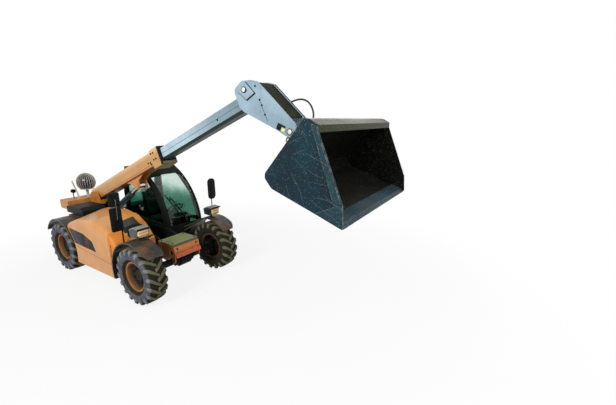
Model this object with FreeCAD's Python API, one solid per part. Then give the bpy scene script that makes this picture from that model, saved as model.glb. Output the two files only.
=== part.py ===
"""Compact telescopic handler with a four-wheel-steered chassis, a side cab and a general-purpose bucket.

The model is drawn in millimetres, X forward, Y to the machine's left, Z up.
Every piece is drawn about a datum on the ground half way between the axles.
The last step moves everything so that the origin is at the middle of the machine's outer box, on the ground.
"""

import FreeCAD
import Part
import math
import os

V = FreeCAD.Vector

# Chassis and wheels
wheelbase = 2340.0
track_width = 1495.0
tyre_radius = 462.0
tyre_width = 320.0
lug_height = 32.0
lugs_per_side = 18
tyre_sides = 18
rim_sides = 36
rim_radius = 243.0
rim_width = 230.0
flange_height = 14.0
flange_thick = 9.0
wheel_disc_offset = 25.0
hub_radius = 92.0
spindle_radius = 38.0
kingpin_offset = 100.0
kingpin_radius = 26.0
steer_limit = 30.0
yoke_inner = 92.0
yoke_thick = 26.0
yoke_radius = 55.0
carrier_half = yoke_inner - 6.0
carrier_radius = yoke_radius - 7.0
kingpin_half = yoke_inner + yoke_thick + 20.0
axle_tube_radius = 58.0
box_half_width = 250.0
box_sheet = 14.0
running_gap = 1.0
body_gap = 6.0
half_track = track_width / 2
axle_x = wheelbase / 2
rear_x = -axle_x
arch_radius = math.hypot(tyre_radius, tyre_width / 2 + kingpin_offset) + body_gap
fender_inner = arch_radius + 8.0
fender_thick = 14.0
frame_inner = 150.0
frame_plate = 25.0
frame_outer = frame_inner + frame_plate
frame_top = 850.0
frame_bottom = 360.0
frame_tail = rear_x - 390.0
axle_seat = tyre_radius + 128.0

# Tail: rear cover, counterweight and tow clevis
rear_beam_tail = rear_x - 790.0
rear_beam_low = 1020.0
weight_tail = rear_x - 710.0
hitch_low = 540.0
hitch_span = 90.0
hitch_ear = 18.0
hitch_bore = 13.0
hitch_reach = 48.0

# Boom, in the boom's own frame: s along the boom from its pivot, n square to it
pivot_x = rear_x - 50.0
pivot_z = 1300.0
boom_angle = 22.0
boom_half_width = 120.0
boom_low = -70.0
boom_high = 165.0
boom_wall = 12.0
boom_rear = -150.0
collar_start = 2220.0
collar_end = 2440.0
collar_half_width = 140.0
collar_low = -137.0
collar_high = 190.0
pivot_pin_radius = 35.0
fly_half_width = 95.0
fly_low = -52.0
fly_high = 142.0
fly_wall = 10.0
fly_chamfer = 34.0
fly_rear = 1950.0
fly_front = 4440.0
pad_gap = 0.5
retract_travel = 1850.0
extend_travel = 50.0

# Lift cylinder
lift_base = (rear_x + 120.0, 913.0)
lift_lug = (1448.0, -207.0)
lift_barrel_radius = 55.0
lift_barrel_length = 1050.0
lift_rod_radius = 30.0
lift_pin_radius = 28.0
lug_half_gap = 62.0
lug_plate = 20.0

# Nose and carriage, the pins again in the boom's frame
nose_inner = 150.0
nose_plate = 20.0
nose_outer = nose_inner + nose_plate
nose_pin = (4563.0, 152.0)
tip_pin = (5005.0, -557.0)
tilt_pin = (4885.0, -624.0)
tip_pin_radius = 28.0
tilt_barrel_radius = 42.0
tilt_barrel_length = 560.0
tilt_rod_radius = 22.0
carriage_half_gap = 46.0
carriage_plate = 20.0

# Bucket
bucket_width = 1840.0
bucket_side = 12.0
bucket_sheet = 12.0
cutter_plate = 10.0
blade_depth = 170.0
blade_thick = 25.0

# Cab
cab_right = frame_outer
cab_left = 880.0
cab_wall = 42.0
cab_floor = 600.0
cab_roof_z = 1915.0
cab_front_cut_back = 80.0
glass_thick = 6.0
door_gap = 8.0
door_thick = 36.0
cab_rear = rear_x + 435.0
cab_front = axle_x - 492.0
door_hinge_x = cab_rear + 175.0
door_hinge_y = cab_left + 12.0
door_hinge_heights = (760.0, 1740.0)

# Engine hood and side panels
hood_inner_y = -240.0
hood_outer_y = -880.0
hood_wall = 12.0
hood_rear_x = rear_x + 370.0
hood_front_x = axle_x - 610.0
hood_hinge_y = -232.0
hood_hinge_z = 1196.0
hood_hinge_places = (hood_rear_x + 380.0, hood_front_x - 260.0)
bulkhead_x = axle_x - 570.0
hood_lip_z = 1075.0
crease_rear_z = 628.0
crease_front_z = 518.0
skirt_bottom = 290.0
bay_wall_y = -204.0

nodes = {}


def rotated(point, degrees):
    """The point (a, b) turned about the origin of its plane."""
    c = math.cos(math.radians(degrees))
    s = math.sin(math.radians(degrees))
    return (point[0] * c - point[1] * s, point[0] * s + point[1] * c)


def boom_point(point, angle=boom_angle):
    """The place (x, z) of a point (s, n) of the boom's frame."""
    x, z = rotated(point, angle)
    return (pivot_x + x, pivot_z + z)


def in_plane(axis, a, b, level):
    """The 3-D point of (a, b) in the plane square to the axis at that level."""
    if axis == "x":
        return V(level, a, b)
    if axis == "y":
        return V(a, level, b)
    return V(a, b, level)


def outline(points, axis, level):
    """Closed wire through corners (a, b) or (a, b, radius); a corner with a radius becomes a tangent arc."""
    corners = []
    count = len(points)
    for i, corner in enumerate(points):
        here = in_plane(axis, corner[0], corner[1], level)
        radius = corner[2] if len(corner) > 2 else 0
        if not radius:
            corners.append((here, here, here))
            continue
        before = in_plane(axis, points[i - 1][0], points[i - 1][1], level) - here
        after = in_plane(axis, points[(i + 1) % count][0], points[(i + 1) % count][1], level) - here
        half = before.getAngle(after) / 2
        before.normalize()
        after.normalize()
        middle = before + after
        middle.normalize()
        reach = radius / math.tan(half)
        corners.append((
            here + before * reach,
            here + middle * (radius / math.sin(half) - radius),
            here + after * reach,
        ))
    edges = []
    for i, (start, mid, end) in enumerate(corners):
        if not start.isEqual(end, 1e-6):
            edges.append(Part.Arc(start, mid, end).toShape())
        following = corners[(i + 1) % count][0]
        if not end.isEqual(following, 1e-6):
            edges.append(Part.LineSegment(end, following).toShape())
    return Part.Wire(edges)


def plate(points, axis, low, high):
    """Solid of an outline between two levels of the axis."""
    rise = in_plane(axis, 0, 0, high - low)
    face = Part.Face(outline(points, axis, low))
    if face.normalAt(0, 0).dot(rise) < 0:
        face = Part.Face(outline(points[::-1], axis, low))
    return face.extrude(rise)


def block(x0, x1, y0, y1, z0, z1):
    return Part.makeBox(x1 - x0, y1 - y0, z1 - z0, V(x0, y0, z0))


def rod(start, end, radius):
    """Round bar between two points."""
    line = V(*end) - V(*start)
    return Part.makeCylinder(radius, line.Length, V(*start), line)


def pipe(start, end, radius, bore):
    return rod(start, end, radius).cut(rod(start, end, bore))


def join(first, *others):
    """One solid of touching or overlapping pieces."""
    return first.fuse(list(others)).removeSplitter()


def mirrored(shape):
    """The same piece on the other side of the machine."""
    return shape.mirror(V(0, 0, 0), V(0, 1, 0))


def on_boom(shape):
    """Moves a shape drawn in the boom's frame, s along X and n along Z, to its place."""
    moved = shape.copy()
    moved.rotate(V(0, 0, 0), V(0, 1, 0), -boom_angle)
    moved.translate(V(pivot_x, 0, pivot_z))
    return moved


def offset_line(points, distance):
    """Open line of points moved sideways to its left by a distance, with mitred corners."""
    normals = []
    for (ax, ay), (bx, by) in zip(points, points[1:]):
        length = math.hypot(bx - ax, by - ay)
        normals.append((-(by - ay) / length, (bx - ax) / length))
    moved = []
    for i, (x, y) in enumerate(points):
        first = normals[max(i - 1, 0)]
        second = normals[min(i, len(normals) - 1)]
        scale = distance / (1 + first[0] * second[0] + first[1] * second[1])
        moved.append((x + (first[0] + second[0]) * scale, y + (first[1] + second[1]) * scale))
    return moved


def strip(points, thickness):
    """Closed outline of a bent sheet along a line of points."""
    return points + offset_line(points, thickness)[::-1]


def faceted_ring(profile, sides, centre, closed=True):
    """Ring about the Y axis through a centre: the profile (y, radius) repeated around with flat facets."""
    cx, cy, cz = centre
    count = len(profile)
    turns = [2 * math.pi * k / sides for k in range(sides)]

    def at(corner, turn):
        y, radius = corner
        return V(cx + radius * math.sin(turn), cy + y, cz - radius * math.cos(turn))

    faces = []
    for k in range(sides):
        a, b = turns[k], turns[(k + 1) % sides]
        for j in range(count if closed else count - 1):
            p, q = profile[j], profile[(j + 1) % count]
            corners = [at(p, a), at(q, a), at(q, b), at(p, b)]
            distinct = [c for i, c in enumerate(corners) if not c.isEqual(corners[i - 1], 1e-6)]
            if len(distinct) > 2:
                faces.append(Part.Face(Part.makePolygon(distinct + distinct[:1])))
    solid = Part.Solid(Part.makeShell(faces))
    if solid.Volume < 0:
        solid.reverse()
    return solid


# Wheels: tyre with fused chevron lugs, rim, steering knuckle

tread_radius = tyre_radius - lug_height
lug_lean = 135.0
lug_overlap = 18.0
lug_end = tyre_width / 2 - 15.0
lug_middle_width = 54.0
lug_shoulder_width = 68.0
lug_root = 28.0


def tyre_lug(side, turn):
    """One lug from past the tread's middle to its shoulder, flat on top, its corners at the tyre's radius."""
    reach = (lug_lean + lug_shoulder_width) / 2
    top = math.sqrt(tyre_radius ** 2 - reach ** 2)
    ends = ((-lug_lean / 2, -lug_overlap, lug_middle_width), (lug_lean / 2, lug_end, lug_shoulder_width))
    (x0, y0, w0), (x1, y1, w1) = ends
    plan = [(x0 - w0 / 2, side * y0), (x1 - w1 / 2, side * y1),
            (x1 + w1 / 2, side * y1), (x0 + w0 / 2, side * y0)]
    lug = plate(plan, "z", -top, -(tread_radius - lug_root))
    lug.rotate(V(0, 0, 0), V(0, 1, 0), -turn)
    return lug


def make_tyre():
    """Tyre centred on the origin, its lugs pointing forwards at the top on both sides of the tread."""
    half = tyre_width / 2
    bead = (rim_radius - flange_height + 0.3) / math.cos(math.pi / tyre_sides)
    seat = rim_width / 2 - flange_thick - 0.3
    # y, radius, for one half of the tyre from its bead to the middle of the tread
    section = [(seat, bead), (seat, rim_radius + 7), (half, rim_radius + 92), (half - 20, tread_radius)]
    profile = [(-y, r) for y, r in section] + section[::-1]
    body = faceted_ring(profile, tyre_sides, (0, 0, 0))
    pitch = 360.0 / lugs_per_side
    lugs = []
    for k in range(lugs_per_side):
        lugs.append(tyre_lug(1, k * pitch))
        lugs.append(tyre_lug(-1, (k + 0.5) * pitch))
    return body.fuse(lugs)


def make_rim(side):
    """Rim about the origin; side is the way its dish faces."""
    half = rim_width / 2
    seat = rim_radius - flange_height
    disc = wheel_disc_offset
    hub_bore = spindle_radius + running_gap
    # y, radius: from the inner flange along the outside and back along the inside
    flange = half - flange_thick
    profile = [(-half, rim_radius), (-flange, rim_radius), (-flange, seat), (flange, seat),
               (flange, rim_radius), (half, rim_radius), (half, seat - 12), (disc + 16, seat - 26),
               (disc + 4, 150.0), (disc + 28, hub_radius), (disc + 28, 0.0), (disc, 0.0),
               (disc, hub_bore), (disc - 68, hub_bore), (disc - 68, hub_radius - 14), (disc - 8, hub_radius),
               (disc - 8, 150.0), (disc, seat - 40), (-half, seat - 14)]
    return faceted_ring([(side * y, r) for y, r in profile], rim_sides, (0, 0, 0))


def make_knuckle(side):
    """Kingpin, hub carrier and steering arm of one wheel, about the wheel's centre."""
    pin_y = -side * kingpin_offset
    pin = rod((0, pin_y, -kingpin_half), (0, pin_y, kingpin_half), kingpin_radius)
    carrier = rod((0, pin_y, -carrier_half), (0, pin_y, carrier_half), carrier_radius)
    spindle = rod((0, pin_y, 0), (0, side * (wheel_disc_offset - 8), 0), spindle_radius)
    arm = block(-150, 0, pin_y - 10, pin_y + 10, -30, 0)
    return join(carrier, pin, spindle, arm)


def add_wheels():
    tyre = make_tyre()
    corners = {"front_right": (axle_x, -1), "front_left": (axle_x, 1),
               "rear_right": (-axle_x, -1), "rear_left": (-axle_x, 1)}
    for name, (x, side) in corners.items():
        place = V(x, side * half_track, tyre_radius)
        for kind, shape in (("tyre", tyre.copy()), ("rim", make_rim(side)), ("knuckle", make_knuckle(side))):
            shape.translate(place)
            nodes[kind + "_" + name] = shape


# Axles

def make_axle(x):
    """Rigid axle: differential housing, tapered tubes and an open yoke at each kingpin."""
    pin_y = half_track - kingpin_offset
    z = tyre_radius
    tube = rod((x, -pin_y + 95, z), (x, pin_y - 95, z), axle_tube_radius)
    housing = rod((x, -105, z), (x, 105, z), 118)
    shoulder = rod((x, -170, z), (x, 170, z), 88)
    saddle = block(x - 95, x + 95, -frame_outer, frame_outer, z + 60, axle_seat)
    pieces = [housing, shoulder, saddle]
    for side in (-1, 1):
        y = side * pin_y
        web_in, web_out = y - side * (yoke_radius + 40), y - side * yoke_radius
        web = block(x - yoke_radius, x + yoke_radius, min(web_in, web_out), max(web_in, web_out),
                    z - yoke_inner - yoke_thick, z + yoke_inner + yoke_thick)
        pieces.append(web)
        for low in (z - yoke_inner - yoke_thick, z + yoke_inner):
            near, far = sorted((web_out, y))
            arm = block(x - yoke_radius, x + yoke_radius, near, far, low, low + yoke_thick)
            eye = Part.makeCylinder(yoke_radius, yoke_thick, V(x, y, low))
            pieces += [arm, eye]
    axle = join(tube, *pieces)
    for side in (-1, 1):
        bore = Part.makeCylinder(kingpin_radius + running_gap, 400, V(x, side * pin_y, z - 200))
        axle = axle.cut(bore)
    return axle


# Frame between the wheels, with the towers that carry the boom

def make_chassis():
    side_plate = plate([
        (frame_tail, 1000, 30), (frame_tail, axle_seat + 50, 40), (rear_x - 230, axle_seat, 60),
        (rear_x + 230, axle_seat, 60), (rear_x + 390, frame_bottom, 80), (axle_x - 390, frame_bottom, 80),
        (axle_x - 230, axle_seat, 60), (axle_x + 120, axle_seat, 10), (axle_x + 120, axle_seat + 130, 10),
        (axle_x + 20, axle_seat + 170, 30), (axle_x - 290, axle_seat + 180, 30), (axle_x - 550, frame_top, 60),
        (rear_x + 410, frame_top, 120), (rear_x + 240, 960, 120), (pivot_x + 140, pivot_z + 90, 70),
        (pivot_x - 120, pivot_z + 90, 90), (pivot_x - 200, 1120, 60),
    ], "y", frame_inner, frame_outer)
    floor = block(rear_x + 470, axle_x - 470, -frame_inner, frame_inner, frame_bottom + 10, frame_bottom + 30)
    front_tie = block(axle_x - 270, axle_x + 30, -frame_inner, frame_inner, axle_seat + 110, axle_seat + 135)
    rear_tie = block(frame_tail + 15, frame_tail + 40, -frame_inner, frame_inner, axle_seat + 70, 1000)
    mid_tie = block(-330, -305, -frame_inner, frame_inner, frame_bottom + 30, 640)
    pivot_pin = rod((pivot_x, -frame_outer - 14, pivot_z), (pivot_x, frame_outer + 14, pivot_z), pivot_pin_radius)
    lift_pin = rod((lift_base[0], -frame_outer - 8, lift_base[1]),
                   (lift_base[0], frame_outer + 8, lift_base[1]), lift_pin_radius)
    frame = join(side_plate, mirrored(side_plate), floor, front_tie, rear_tie, mid_tie, pivot_pin, lift_pin)
    for side in (-1, 1):
        cheek = rod((pivot_x, side * frame_outer, pivot_z), (pivot_x, side * (frame_outer + 8), pivot_z), 78)
        frame = frame.fuse(cheek)
    return frame.removeSplitter()


def make_front_box():
    """Open-bottomed housing between the front wheels: drilled side plates, top plate and sloping front plate."""
    half, sheet = box_half_width, box_sheet
    back, front, top = axle_x - 265, axle_x + 160, axle_seat + 210
    low = tyre_radius - 32
    cheek = plate([(back, low + 90, 40), (axle_x + 70, low, 60), (front, low + 70, 40), (front, top - 110, 20),
                   (front - 30, top, 20), (back, top, 10)], "y", half - sheet, half)
    # hole centre ahead of the axle, height over the axle's centre, radius
    for ahead, up, radius in ((65, 188, 42), (45, 58, 34), (-170, 238, 30)):
        centre = (axle_x + ahead, tyre_radius + up)
        cheek = cheek.cut(rod((centre[0], half - 30, centre[1]), (centre[0], half + 10, centre[1]), radius))
    clear_axle = rod((axle_x, 0, tyre_radius), (axle_x, half + 60, tyre_radius), axle_tube_radius + 4)
    cheek = cheek.cut(clear_axle)
    roof = block(back, front - 30, -half, half, top - sheet, top)
    nose_line = [(front - 30, top), (front, top - 110), (front, top - 170)]
    nose_sheet = plate(strip(nose_line, -sheet), "y", -half, half)
    ledge = block(back, axle_x + 120, frame_outer, half, axle_seat + 152, top - sheet)
    return join(cheek, mirrored(cheek), roof, nose_sheet, ledge, mirrored(ledge))


def make_bumper_bar():
    """Square bar across the front box on two lugs."""
    face = axle_x + 160.3
    middle = axle_seat + 17
    bar = plate([(face + 2, middle - 32, 8), (face + 42, middle - 32, 8), (face + 42, middle + 33, 8),
                 (face + 2, middle + 33, 8)], "y", 5 - box_half_width, box_half_width - 5)
    lug = block(face, face + 15, 150, 190, middle - 17, middle + 83)
    return join(bar, lug, mirrored(lug))


def make_rear_beam():
    """Louvred rear cover of the frame, a rounded box across the tail."""
    body = plate([(-500, rear_beam_low, 40), (500, rear_beam_low, 40), (500, 1210, 16), (-500, 1210, 16)],
                 "x", rear_beam_tail, rear_beam_tail + 340)
    for k in range(6):
        x = rear_beam_tail + 60 + k * 45
        body = body.cut(block(x, x + 16, -440, 440, 1202, 1215))
    return body


def make_counterweight():
    return plate([(-350, 400, 60), (350, 400, 60), (350, rear_beam_low, 10), (-350, rear_beam_low, 10)],
                 "x", weight_tail, frame_tail)


def make_hitch():
    """Tow clevis at the tail: two ears with one bore."""
    root = weight_tail - 14
    plate_back = block(root, weight_tail, -90, 90, hitch_low - 40, hitch_low + 140)
    ears = [plate([(root, -60), (root - 61, -40, 20), (root - 61, 40, 20), (root, 60)], "z", z, z + hitch_ear)
            for z in (hitch_low, hitch_low + hitch_span - hitch_ear)]
    hitch = join(plate_back, *ears)
    foot = V(weight_tail - hitch_reach, 0, hitch_low - 40)
    return hitch.cut(Part.makeCylinder(hitch_bore, 2 * hitch_span, foot))


# Boom and telescopic section

def fly_outline(grow):
    """Section of the inner boom in (y, n), larger all round by grow."""
    w = fly_half_width + grow
    low, high = fly_low - grow, fly_high + grow
    cut = fly_chamfer
    return [(-w + cut, low), (w - cut, low), (w, low + cut), (w, high - 10), (w - 10, high),
            (-w + 10, high), (-w, high - 10), (-w, low + cut)]


def make_boom():
    w = boom_half_width
    outer = plate([(-w, boom_low, 14), (w, boom_low, 14), (w, boom_high, 14), (-w, boom_high, 14)],
                  "x", boom_rear, collar_start)
    wi = w - boom_wall
    inner = plate([(-wi, boom_low + boom_wall), (wi, boom_low + boom_wall), (wi, boom_high - boom_wall),
                   (-wi, boom_high - boom_wall)], "x", boom_rear + boom_wall, collar_start)
    tube = outer.cut(inner)
    cw = collar_half_width
    collar = plate([(-cw, collar_low, 30), (cw, collar_low, 30), (cw, collar_high, 24), (-cw, collar_high, 24)],
                   "x", collar_start, collar_end)
    collar = collar.cut(plate(fly_outline(pad_gap), "x", collar_start, collar_end))
    boss = rod((0, -frame_inner + 5, 0), (0, frame_inner - 5, 0), 62)
    s, n = lift_lug
    lug = plate([(s - 640, boom_low, 0), (s - 300, boom_low - 6, 60), (s - 150, boom_low - 62, 60),
                 (s - 40, n - 66, 50), (s + 66, n - 66, 60), (s + 90, n + 60, 60), (s + 330, boom_low, 0)],
                "y", lug_half_gap, lug_half_gap + lug_plate)
    lug_eye = rod((s, lug_half_gap + 4, n), (s, lug_half_gap + lug_plate + 12, n), 52)
    tube = join(tube, collar, boss, lug, mirrored(lug), lug_eye, mirrored(lug_eye))
    pin_bore = rod((0, -frame_outer, 0), (0, frame_outer, 0), pivot_pin_radius + running_gap)
    return on_boom(tube.cut(pin_bore))


def make_fly():
    outer = plate(fly_outline(0), "x", fly_rear, fly_front)
    inner = plate(fly_outline(-fly_wall), "x", fly_rear, fly_front)
    return on_boom(outer.cut(inner))


def make_nose():
    """Two cheek plates bent down in front of the inner boom, tied by a bulkhead and a keel plate."""
    cheek = plate([
        (4405, 223, 70), (4569, 262, 90), (4705, 209, 60), (4792, 152, 60), (5116, -520, 64),
        (5012, -650, 70), (4925, -575, 30), (4837, -469, 60), (4450, -85, 40), (4405, -11, 30),
    ], "y", nose_inner, nose_outer)
    bulkhead = block(fly_front, fly_front + 20, -nose_inner, nose_inner, -80, 195)
    keel = plate(strip([(4470, -95), (4640, -265)], 12), "y", -nose_inner, nose_inner)
    base_pin = rod((nose_pin[0], -nose_outer - 10, nose_pin[1]),
                   (nose_pin[0], nose_outer + 10, nose_pin[1]), tip_pin_radius)
    pivot_pin = rod((tip_pin[0], -nose_outer - 10, tip_pin[1]),
                    (tip_pin[0], nose_outer + 10, tip_pin[1]), tip_pin_radius)
    pieces = [mirrored(cheek), bulkhead, keel, base_pin, pivot_pin]
    for side in (-1, 1):
        y0 = side * nose_outer
        keeper = plate([(-52, -52, 8), (52, -52, 8), (52, 52, 8), (-52, 52, 8)], "y",
                       min(y0, y0 + side * 8), max(y0, y0 + side * 8))
        keeper.translate(V(nose_pin[0], 0, nose_pin[1]))
        pieces.append(keeper)
        pieces.append(rod((tip_pin[0], y0, tip_pin[1]), (tip_pin[0], y0 + side * 8, tip_pin[1]), 44))
    fittings = [hose_fitting(hose_route[0], hose_route[1]), hose_fitting(hose_route[-1], hose_route[-2])]
    return join(on_boom(join(cheek, *pieces)), *fittings)


def make_nose_cover():
    """Bent cover plate between the cheeks, along their top and front edges."""
    line = [(fly_front + 20.3, 217), (4569, 250), (4700, 198), (4782, 146), (5040, -385)]
    cover = plate(strip(line[::-1], 8), "y", -nose_inner, nose_inner)
    return on_boom(cover)


# hose loop on the left cheek's front edge, (x, z) from the tip pin, fitting to fitting
hose_radius = 11.0
fitting_radius = 15.0
hose_y = nose_inner + fitting_radius + 0.5
fitting_length = 60.0
tip_x, tip_z = boom_point(tip_pin)
hose_shape = [(-204.2, 351.5), (-129.2, 375.5), (-29.2, 377.5), (55.8, 336.5),
              (108.8, 246.5), (115.8, 156.5), (92.8, 89.5)]
hose_route = [(tip_x + x, tip_z + z) for x, z in hose_shape]


def hose_fitting(end, towards):
    """Round fitting from a hose's end back into the cheek."""
    line = V(end[0] - towards[0], 0, end[1] - towards[1])
    line.normalize()
    return Part.makeCylinder(fitting_radius, fitting_length, V(end[0], hose_y, end[1]), line)


def make_hose():
    """Tube of straight runs joined by tangent arcs along its route."""
    points = [V(x, hose_y, z) for x, z in hose_route]
    edges = []
    here = points[0]
    for before, corner, after in zip(points, points[1:], points[2:]):
        back, ahead = before - corner, after - corner
        shorter = min(back.Length, ahead.Length)
        half_turn = (math.pi - back.getAngle(ahead)) / 2
        radius = 0.45 * shorter / math.tan(half_turn)
        reach = 0.45 * shorter
        back.normalize()
        ahead.normalize()
        middle = back + ahead
        middle.normalize()
        start, end = corner + back * reach, corner + ahead * reach
        mid = corner + middle * (radius / math.cos(half_turn) - radius)
        edges += [Part.LineSegment(here, start).toShape(), Part.Arc(start, mid, end).toShape()]
        here = end
        print("hose bend radius", round(radius), "in diameters", round(radius / hose_radius / 2, 1))
    edges.append(Part.LineSegment(here, points[-1]).toShape())
    path = Part.Wire(edges)
    ring = Part.Wire([Part.makeCircle(hose_radius, points[0], points[1] - points[0])])
    tube = path.makePipeShell([ring], True, False)
    print("hose volume against section times length",
          round(tube.Volume / (math.pi * hose_radius ** 2 * path.Length), 4), "length", round(path.Length))
    return tube


# Bucket and its carriage

# outer face of the bent sheet from the top lip round to the floor's front, (x, z) from the tip pin
bucket_shape = [(808.8, 34.5), (808.8, 97.5), (725.8, 144.5), (660.8, 154.5),
                (214.8, -357.5), (212.8, -408.5), (289.8, -501.5), (890.8, -723)]
bucket_line = [(tip_x + x, tip_z + z) for x, z in bucket_shape]
back_top, back_foot = bucket_line[3], bucket_line[4]
back_turn = math.degrees(math.atan2(back_top[1] - back_foot[1], back_top[0] - back_foot[0]))
back_distance = -rotated((back_foot[0] - tip_x, back_foot[1] - tip_z), -back_turn)[1]


def back_point(along, out):
    """The place (x, z) of a point by its distance along the bucket's back and square out from the tip pin."""
    x, z = rotated((along, -out), back_turn)
    return (tip_x + x, tip_z + z)


def back_plate(points, low, high):
    """Plate square to Y from corners in the back's frame, (along, out) or (along, out, radius)."""
    return plate([back_point(*p[:2]) + tuple(p[2:]) for p in points], "y", low, high)


def make_carriage():
    """Quick-coupler: two pivot lugs, a cross beam, two uprights and the top hook bar."""
    pin2 = boom_point(tilt_pin)
    dx, dz = pin2[0] - tip_x, pin2[1] - tip_z
    along, drop = rotated((dx, dz), -back_turn)
    lug = back_plate([(62, -30, 45), (62, 60, 30), (150, 280), (-190, 280), (along - 55, 30, 40),
                      (along - 45, -drop - 50, 45), (along + 30, -drop - 52, 40)],
                     carriage_half_gap, carriage_half_gap + carriage_plate)
    lug = lug.fuse(rod((tip_x, carriage_half_gap, tip_z), (tip_x, nose_inner - 2, tip_z), 52))
    outer = carriage_half_gap + carriage_plate
    lug = lug.fuse(rod((pin2[0], outer - 4, pin2[1]), (pin2[0], outer + 14, pin2[1]), 42))
    beam = back_plate([(-150, 270, 12), (110, 270, 12), (110, 385, 12), (-150, 385, 12)], -420, 420)
    upright_line = [(-160, 285, 20), (390, 330, 20), (390, back_distance), (-160, back_distance)]
    upright = back_plate(upright_line, 395, 420)
    hook = rod(back_point(330, 362)[:1] + (-420,) + back_point(330, 362)[1:],
               back_point(330, 362)[:1] + (420,) + back_point(330, 362)[1:], 24)
    frame = join(lug, mirrored(lug), beam, upright, mirrored(upright), hook)
    return frame.cut(rod((tip_x, -200, tip_z), (tip_x, 200, tip_z), tip_pin_radius + running_gap))


def make_bucket():
    """Bent sheet from the top lip round the back and heel to the floor, between two side plates."""
    half = bucket_width / 2 - cutter_plate
    corner_radius = {2: 30, 3: 25, 4: 60, 5: 40, 6: 90}
    outer = [p + ((corner_radius[i],) if i in corner_radius else ()) for i, p in enumerate(bucket_line)]
    inner_line = offset_line(bucket_line, bucket_sheet)
    inner = [p + ((max(corner_radius[i] - bucket_sheet, 8),) if i in corner_radius else ())
             for i, p in enumerate(inner_line)]
    sheet = plate(outer + inner[::-1], "y", -half + bucket_side, half - bucket_side)
    # front edge of the side plates, (x, z, corner radius) from the tip pin
    front_edge = [(1049.8, -779.5, 10), (1057.8, -765.5, 8), (1044.8, -571.5, 12)]
    side_outline = outer + [(tip_x + x, tip_z + z, r) for x, z, r in front_edge]
    side = plate(side_outline, "y", half - bucket_side, half)
    return join(sheet, side, mirrored(side))


def make_cutting_edge():
    """Floor blade, side cutters and the wear strips up the front edges of the side plates."""
    half = bucket_width / 2
    heel, start = bucket_line[-2:]
    slope = math.atan2(heel[1] - start[1], start[0] - heel[0])
    c, s = math.cos(slope), math.sin(slope)
    tip = (start[0] + blade_depth * c, start[1] - blade_depth * s)
    up = (s, c)
    blade = plate([start, tip, (tip[0] + 4 * up[0], tip[1] + 4 * up[1]),
                   (tip[0] - 45 * c + blade_thick * up[0], tip[1] + 45 * s + blade_thick * up[1]),
                   (start[0] + blade_thick * up[0], start[1] + blade_thick * up[1])],
                  "y", -half + cutter_plate + bucket_side, half - cutter_plate - bucket_side)
    # (x, z, corner radius) from the tip pin
    cutter_shape = [(770.8, -672.5, 4), (1020.8, -563.5, 10),
                    (1044.8, -571.5, 10), (1057.8, -765.5, 8), (1049.8, -779.5, 8)]
    wear_shape = [(736.8, 103.5, 4), (800.8, 89.5, 8), (800.8, 41.5, 4), (1036.8, -562.5, 4), (968.8, -584.5, 4)]
    cutter, wear = [plate([(tip_x + x, tip_z + z, r) for x, z, r in shape], "y", half - cutter_plate, half)
                    for shape in (cutter_shape, wear_shape)]
    return Part.makeCompound([blade, cutter, mirrored(cutter), wear, mirrored(wear)])


# Hydraulic cylinders, each as a barrel and a rod

def cylinder_pair(base, end, barrel_length, barrel_radius, rod_radius, pin_radius, width):
    """Barrel and rod from a base pin to a rod eye, both given as (x, z)."""
    length = math.hypot(end[0] - base[0], end[1] - base[1])
    dx, dz = (end[0] - base[0]) / length, (end[1] - base[1]) / length

    def along(distance, y=0.0):
        return (base[0] + dx * distance, y, base[1] + dz * distance)

    hollow = rod_radius + running_gap
    barrel = join(rod(along(0, -width), along(0, width), pin_radius * 1.9),
                  rod(along(0), along(barrel_length - 40), barrel_radius),
                  rod(along(barrel_length - 60), along(barrel_length), barrel_radius + 5))
    barrel = barrel.cut(rod(along(pin_radius * 1.9 + 15), along(barrel_length + 10), hollow))
    barrel = barrel.cut(rod(along(0, -width - 10), along(0, width + 10), pin_radius + running_gap))
    stroke_part = rod(along(barrel_length * 0.42), along(length), rod_radius)
    eye = rod(along(length, -width), along(length, width), pin_radius * 1.8)
    shaft = join(stroke_part, eye)
    shaft = shaft.cut(rod(along(length, -width - 10), along(length, width + 10), pin_radius + running_gap))
    return barrel, shaft


def add_cylinders():
    lug = boom_point(lift_lug)
    nodes["lift_barrel"], nodes["lift_rod"] = cylinder_pair(
        lift_base, lug, lift_barrel_length, lift_barrel_radius, lift_rod_radius, lift_pin_radius, 54.0)
    nodes["tilt_barrel"], nodes["tilt_rod"] = cylinder_pair(
        boom_point(nose_pin), boom_point(tilt_pin), tilt_barrel_length, tilt_barrel_radius, tilt_rod_radius,
        tip_pin_radius, 40.0)


# Cab: a hollow frame with its windows cut, glass, door, seat and controls

def cab_wire(y, inset, back):
    """Side outline of the cab at one level of Y; back moves the windscreen rearwards."""
    i = inset
    front = [(cab_front - 23 - i - back, cab_floor + i), (cab_front - i - back, 840),
             (cab_front - 10 - i - back, 960)]
    arc_mid = (cab_front - 173 - 0.78 * i - back, 1400 - 0.55 * i)
    arc_end = (cab_front - 528 - 0.5 * i - back, 1795 - i)
    roof = [(cab_front - 718 - back * 0.5, cab_roof_z - i), (cab_rear + 135 + i, cab_roof_z - i),
            (cab_rear + i, 1420), (cab_rear + i, 880), (cab_rear + 90 + i, cab_floor + i)]
    first = [V(x, y, z) for x, z in front]
    last = [V(x, y, z) for x, z in roof]
    edges = [Part.LineSegment(a, b).toShape() for a, b in zip(first, first[1:])]
    end = V(arc_end[0], y, arc_end[1])
    edges.append(Part.Arc(first[-1], V(arc_mid[0], y, arc_mid[1]), end).toShape())
    chain = [end] + last + [first[0]]
    edges += [Part.LineSegment(a, b).toShape() for a, b in zip(chain, chain[1:])]
    return Part.Wire(edges)


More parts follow.
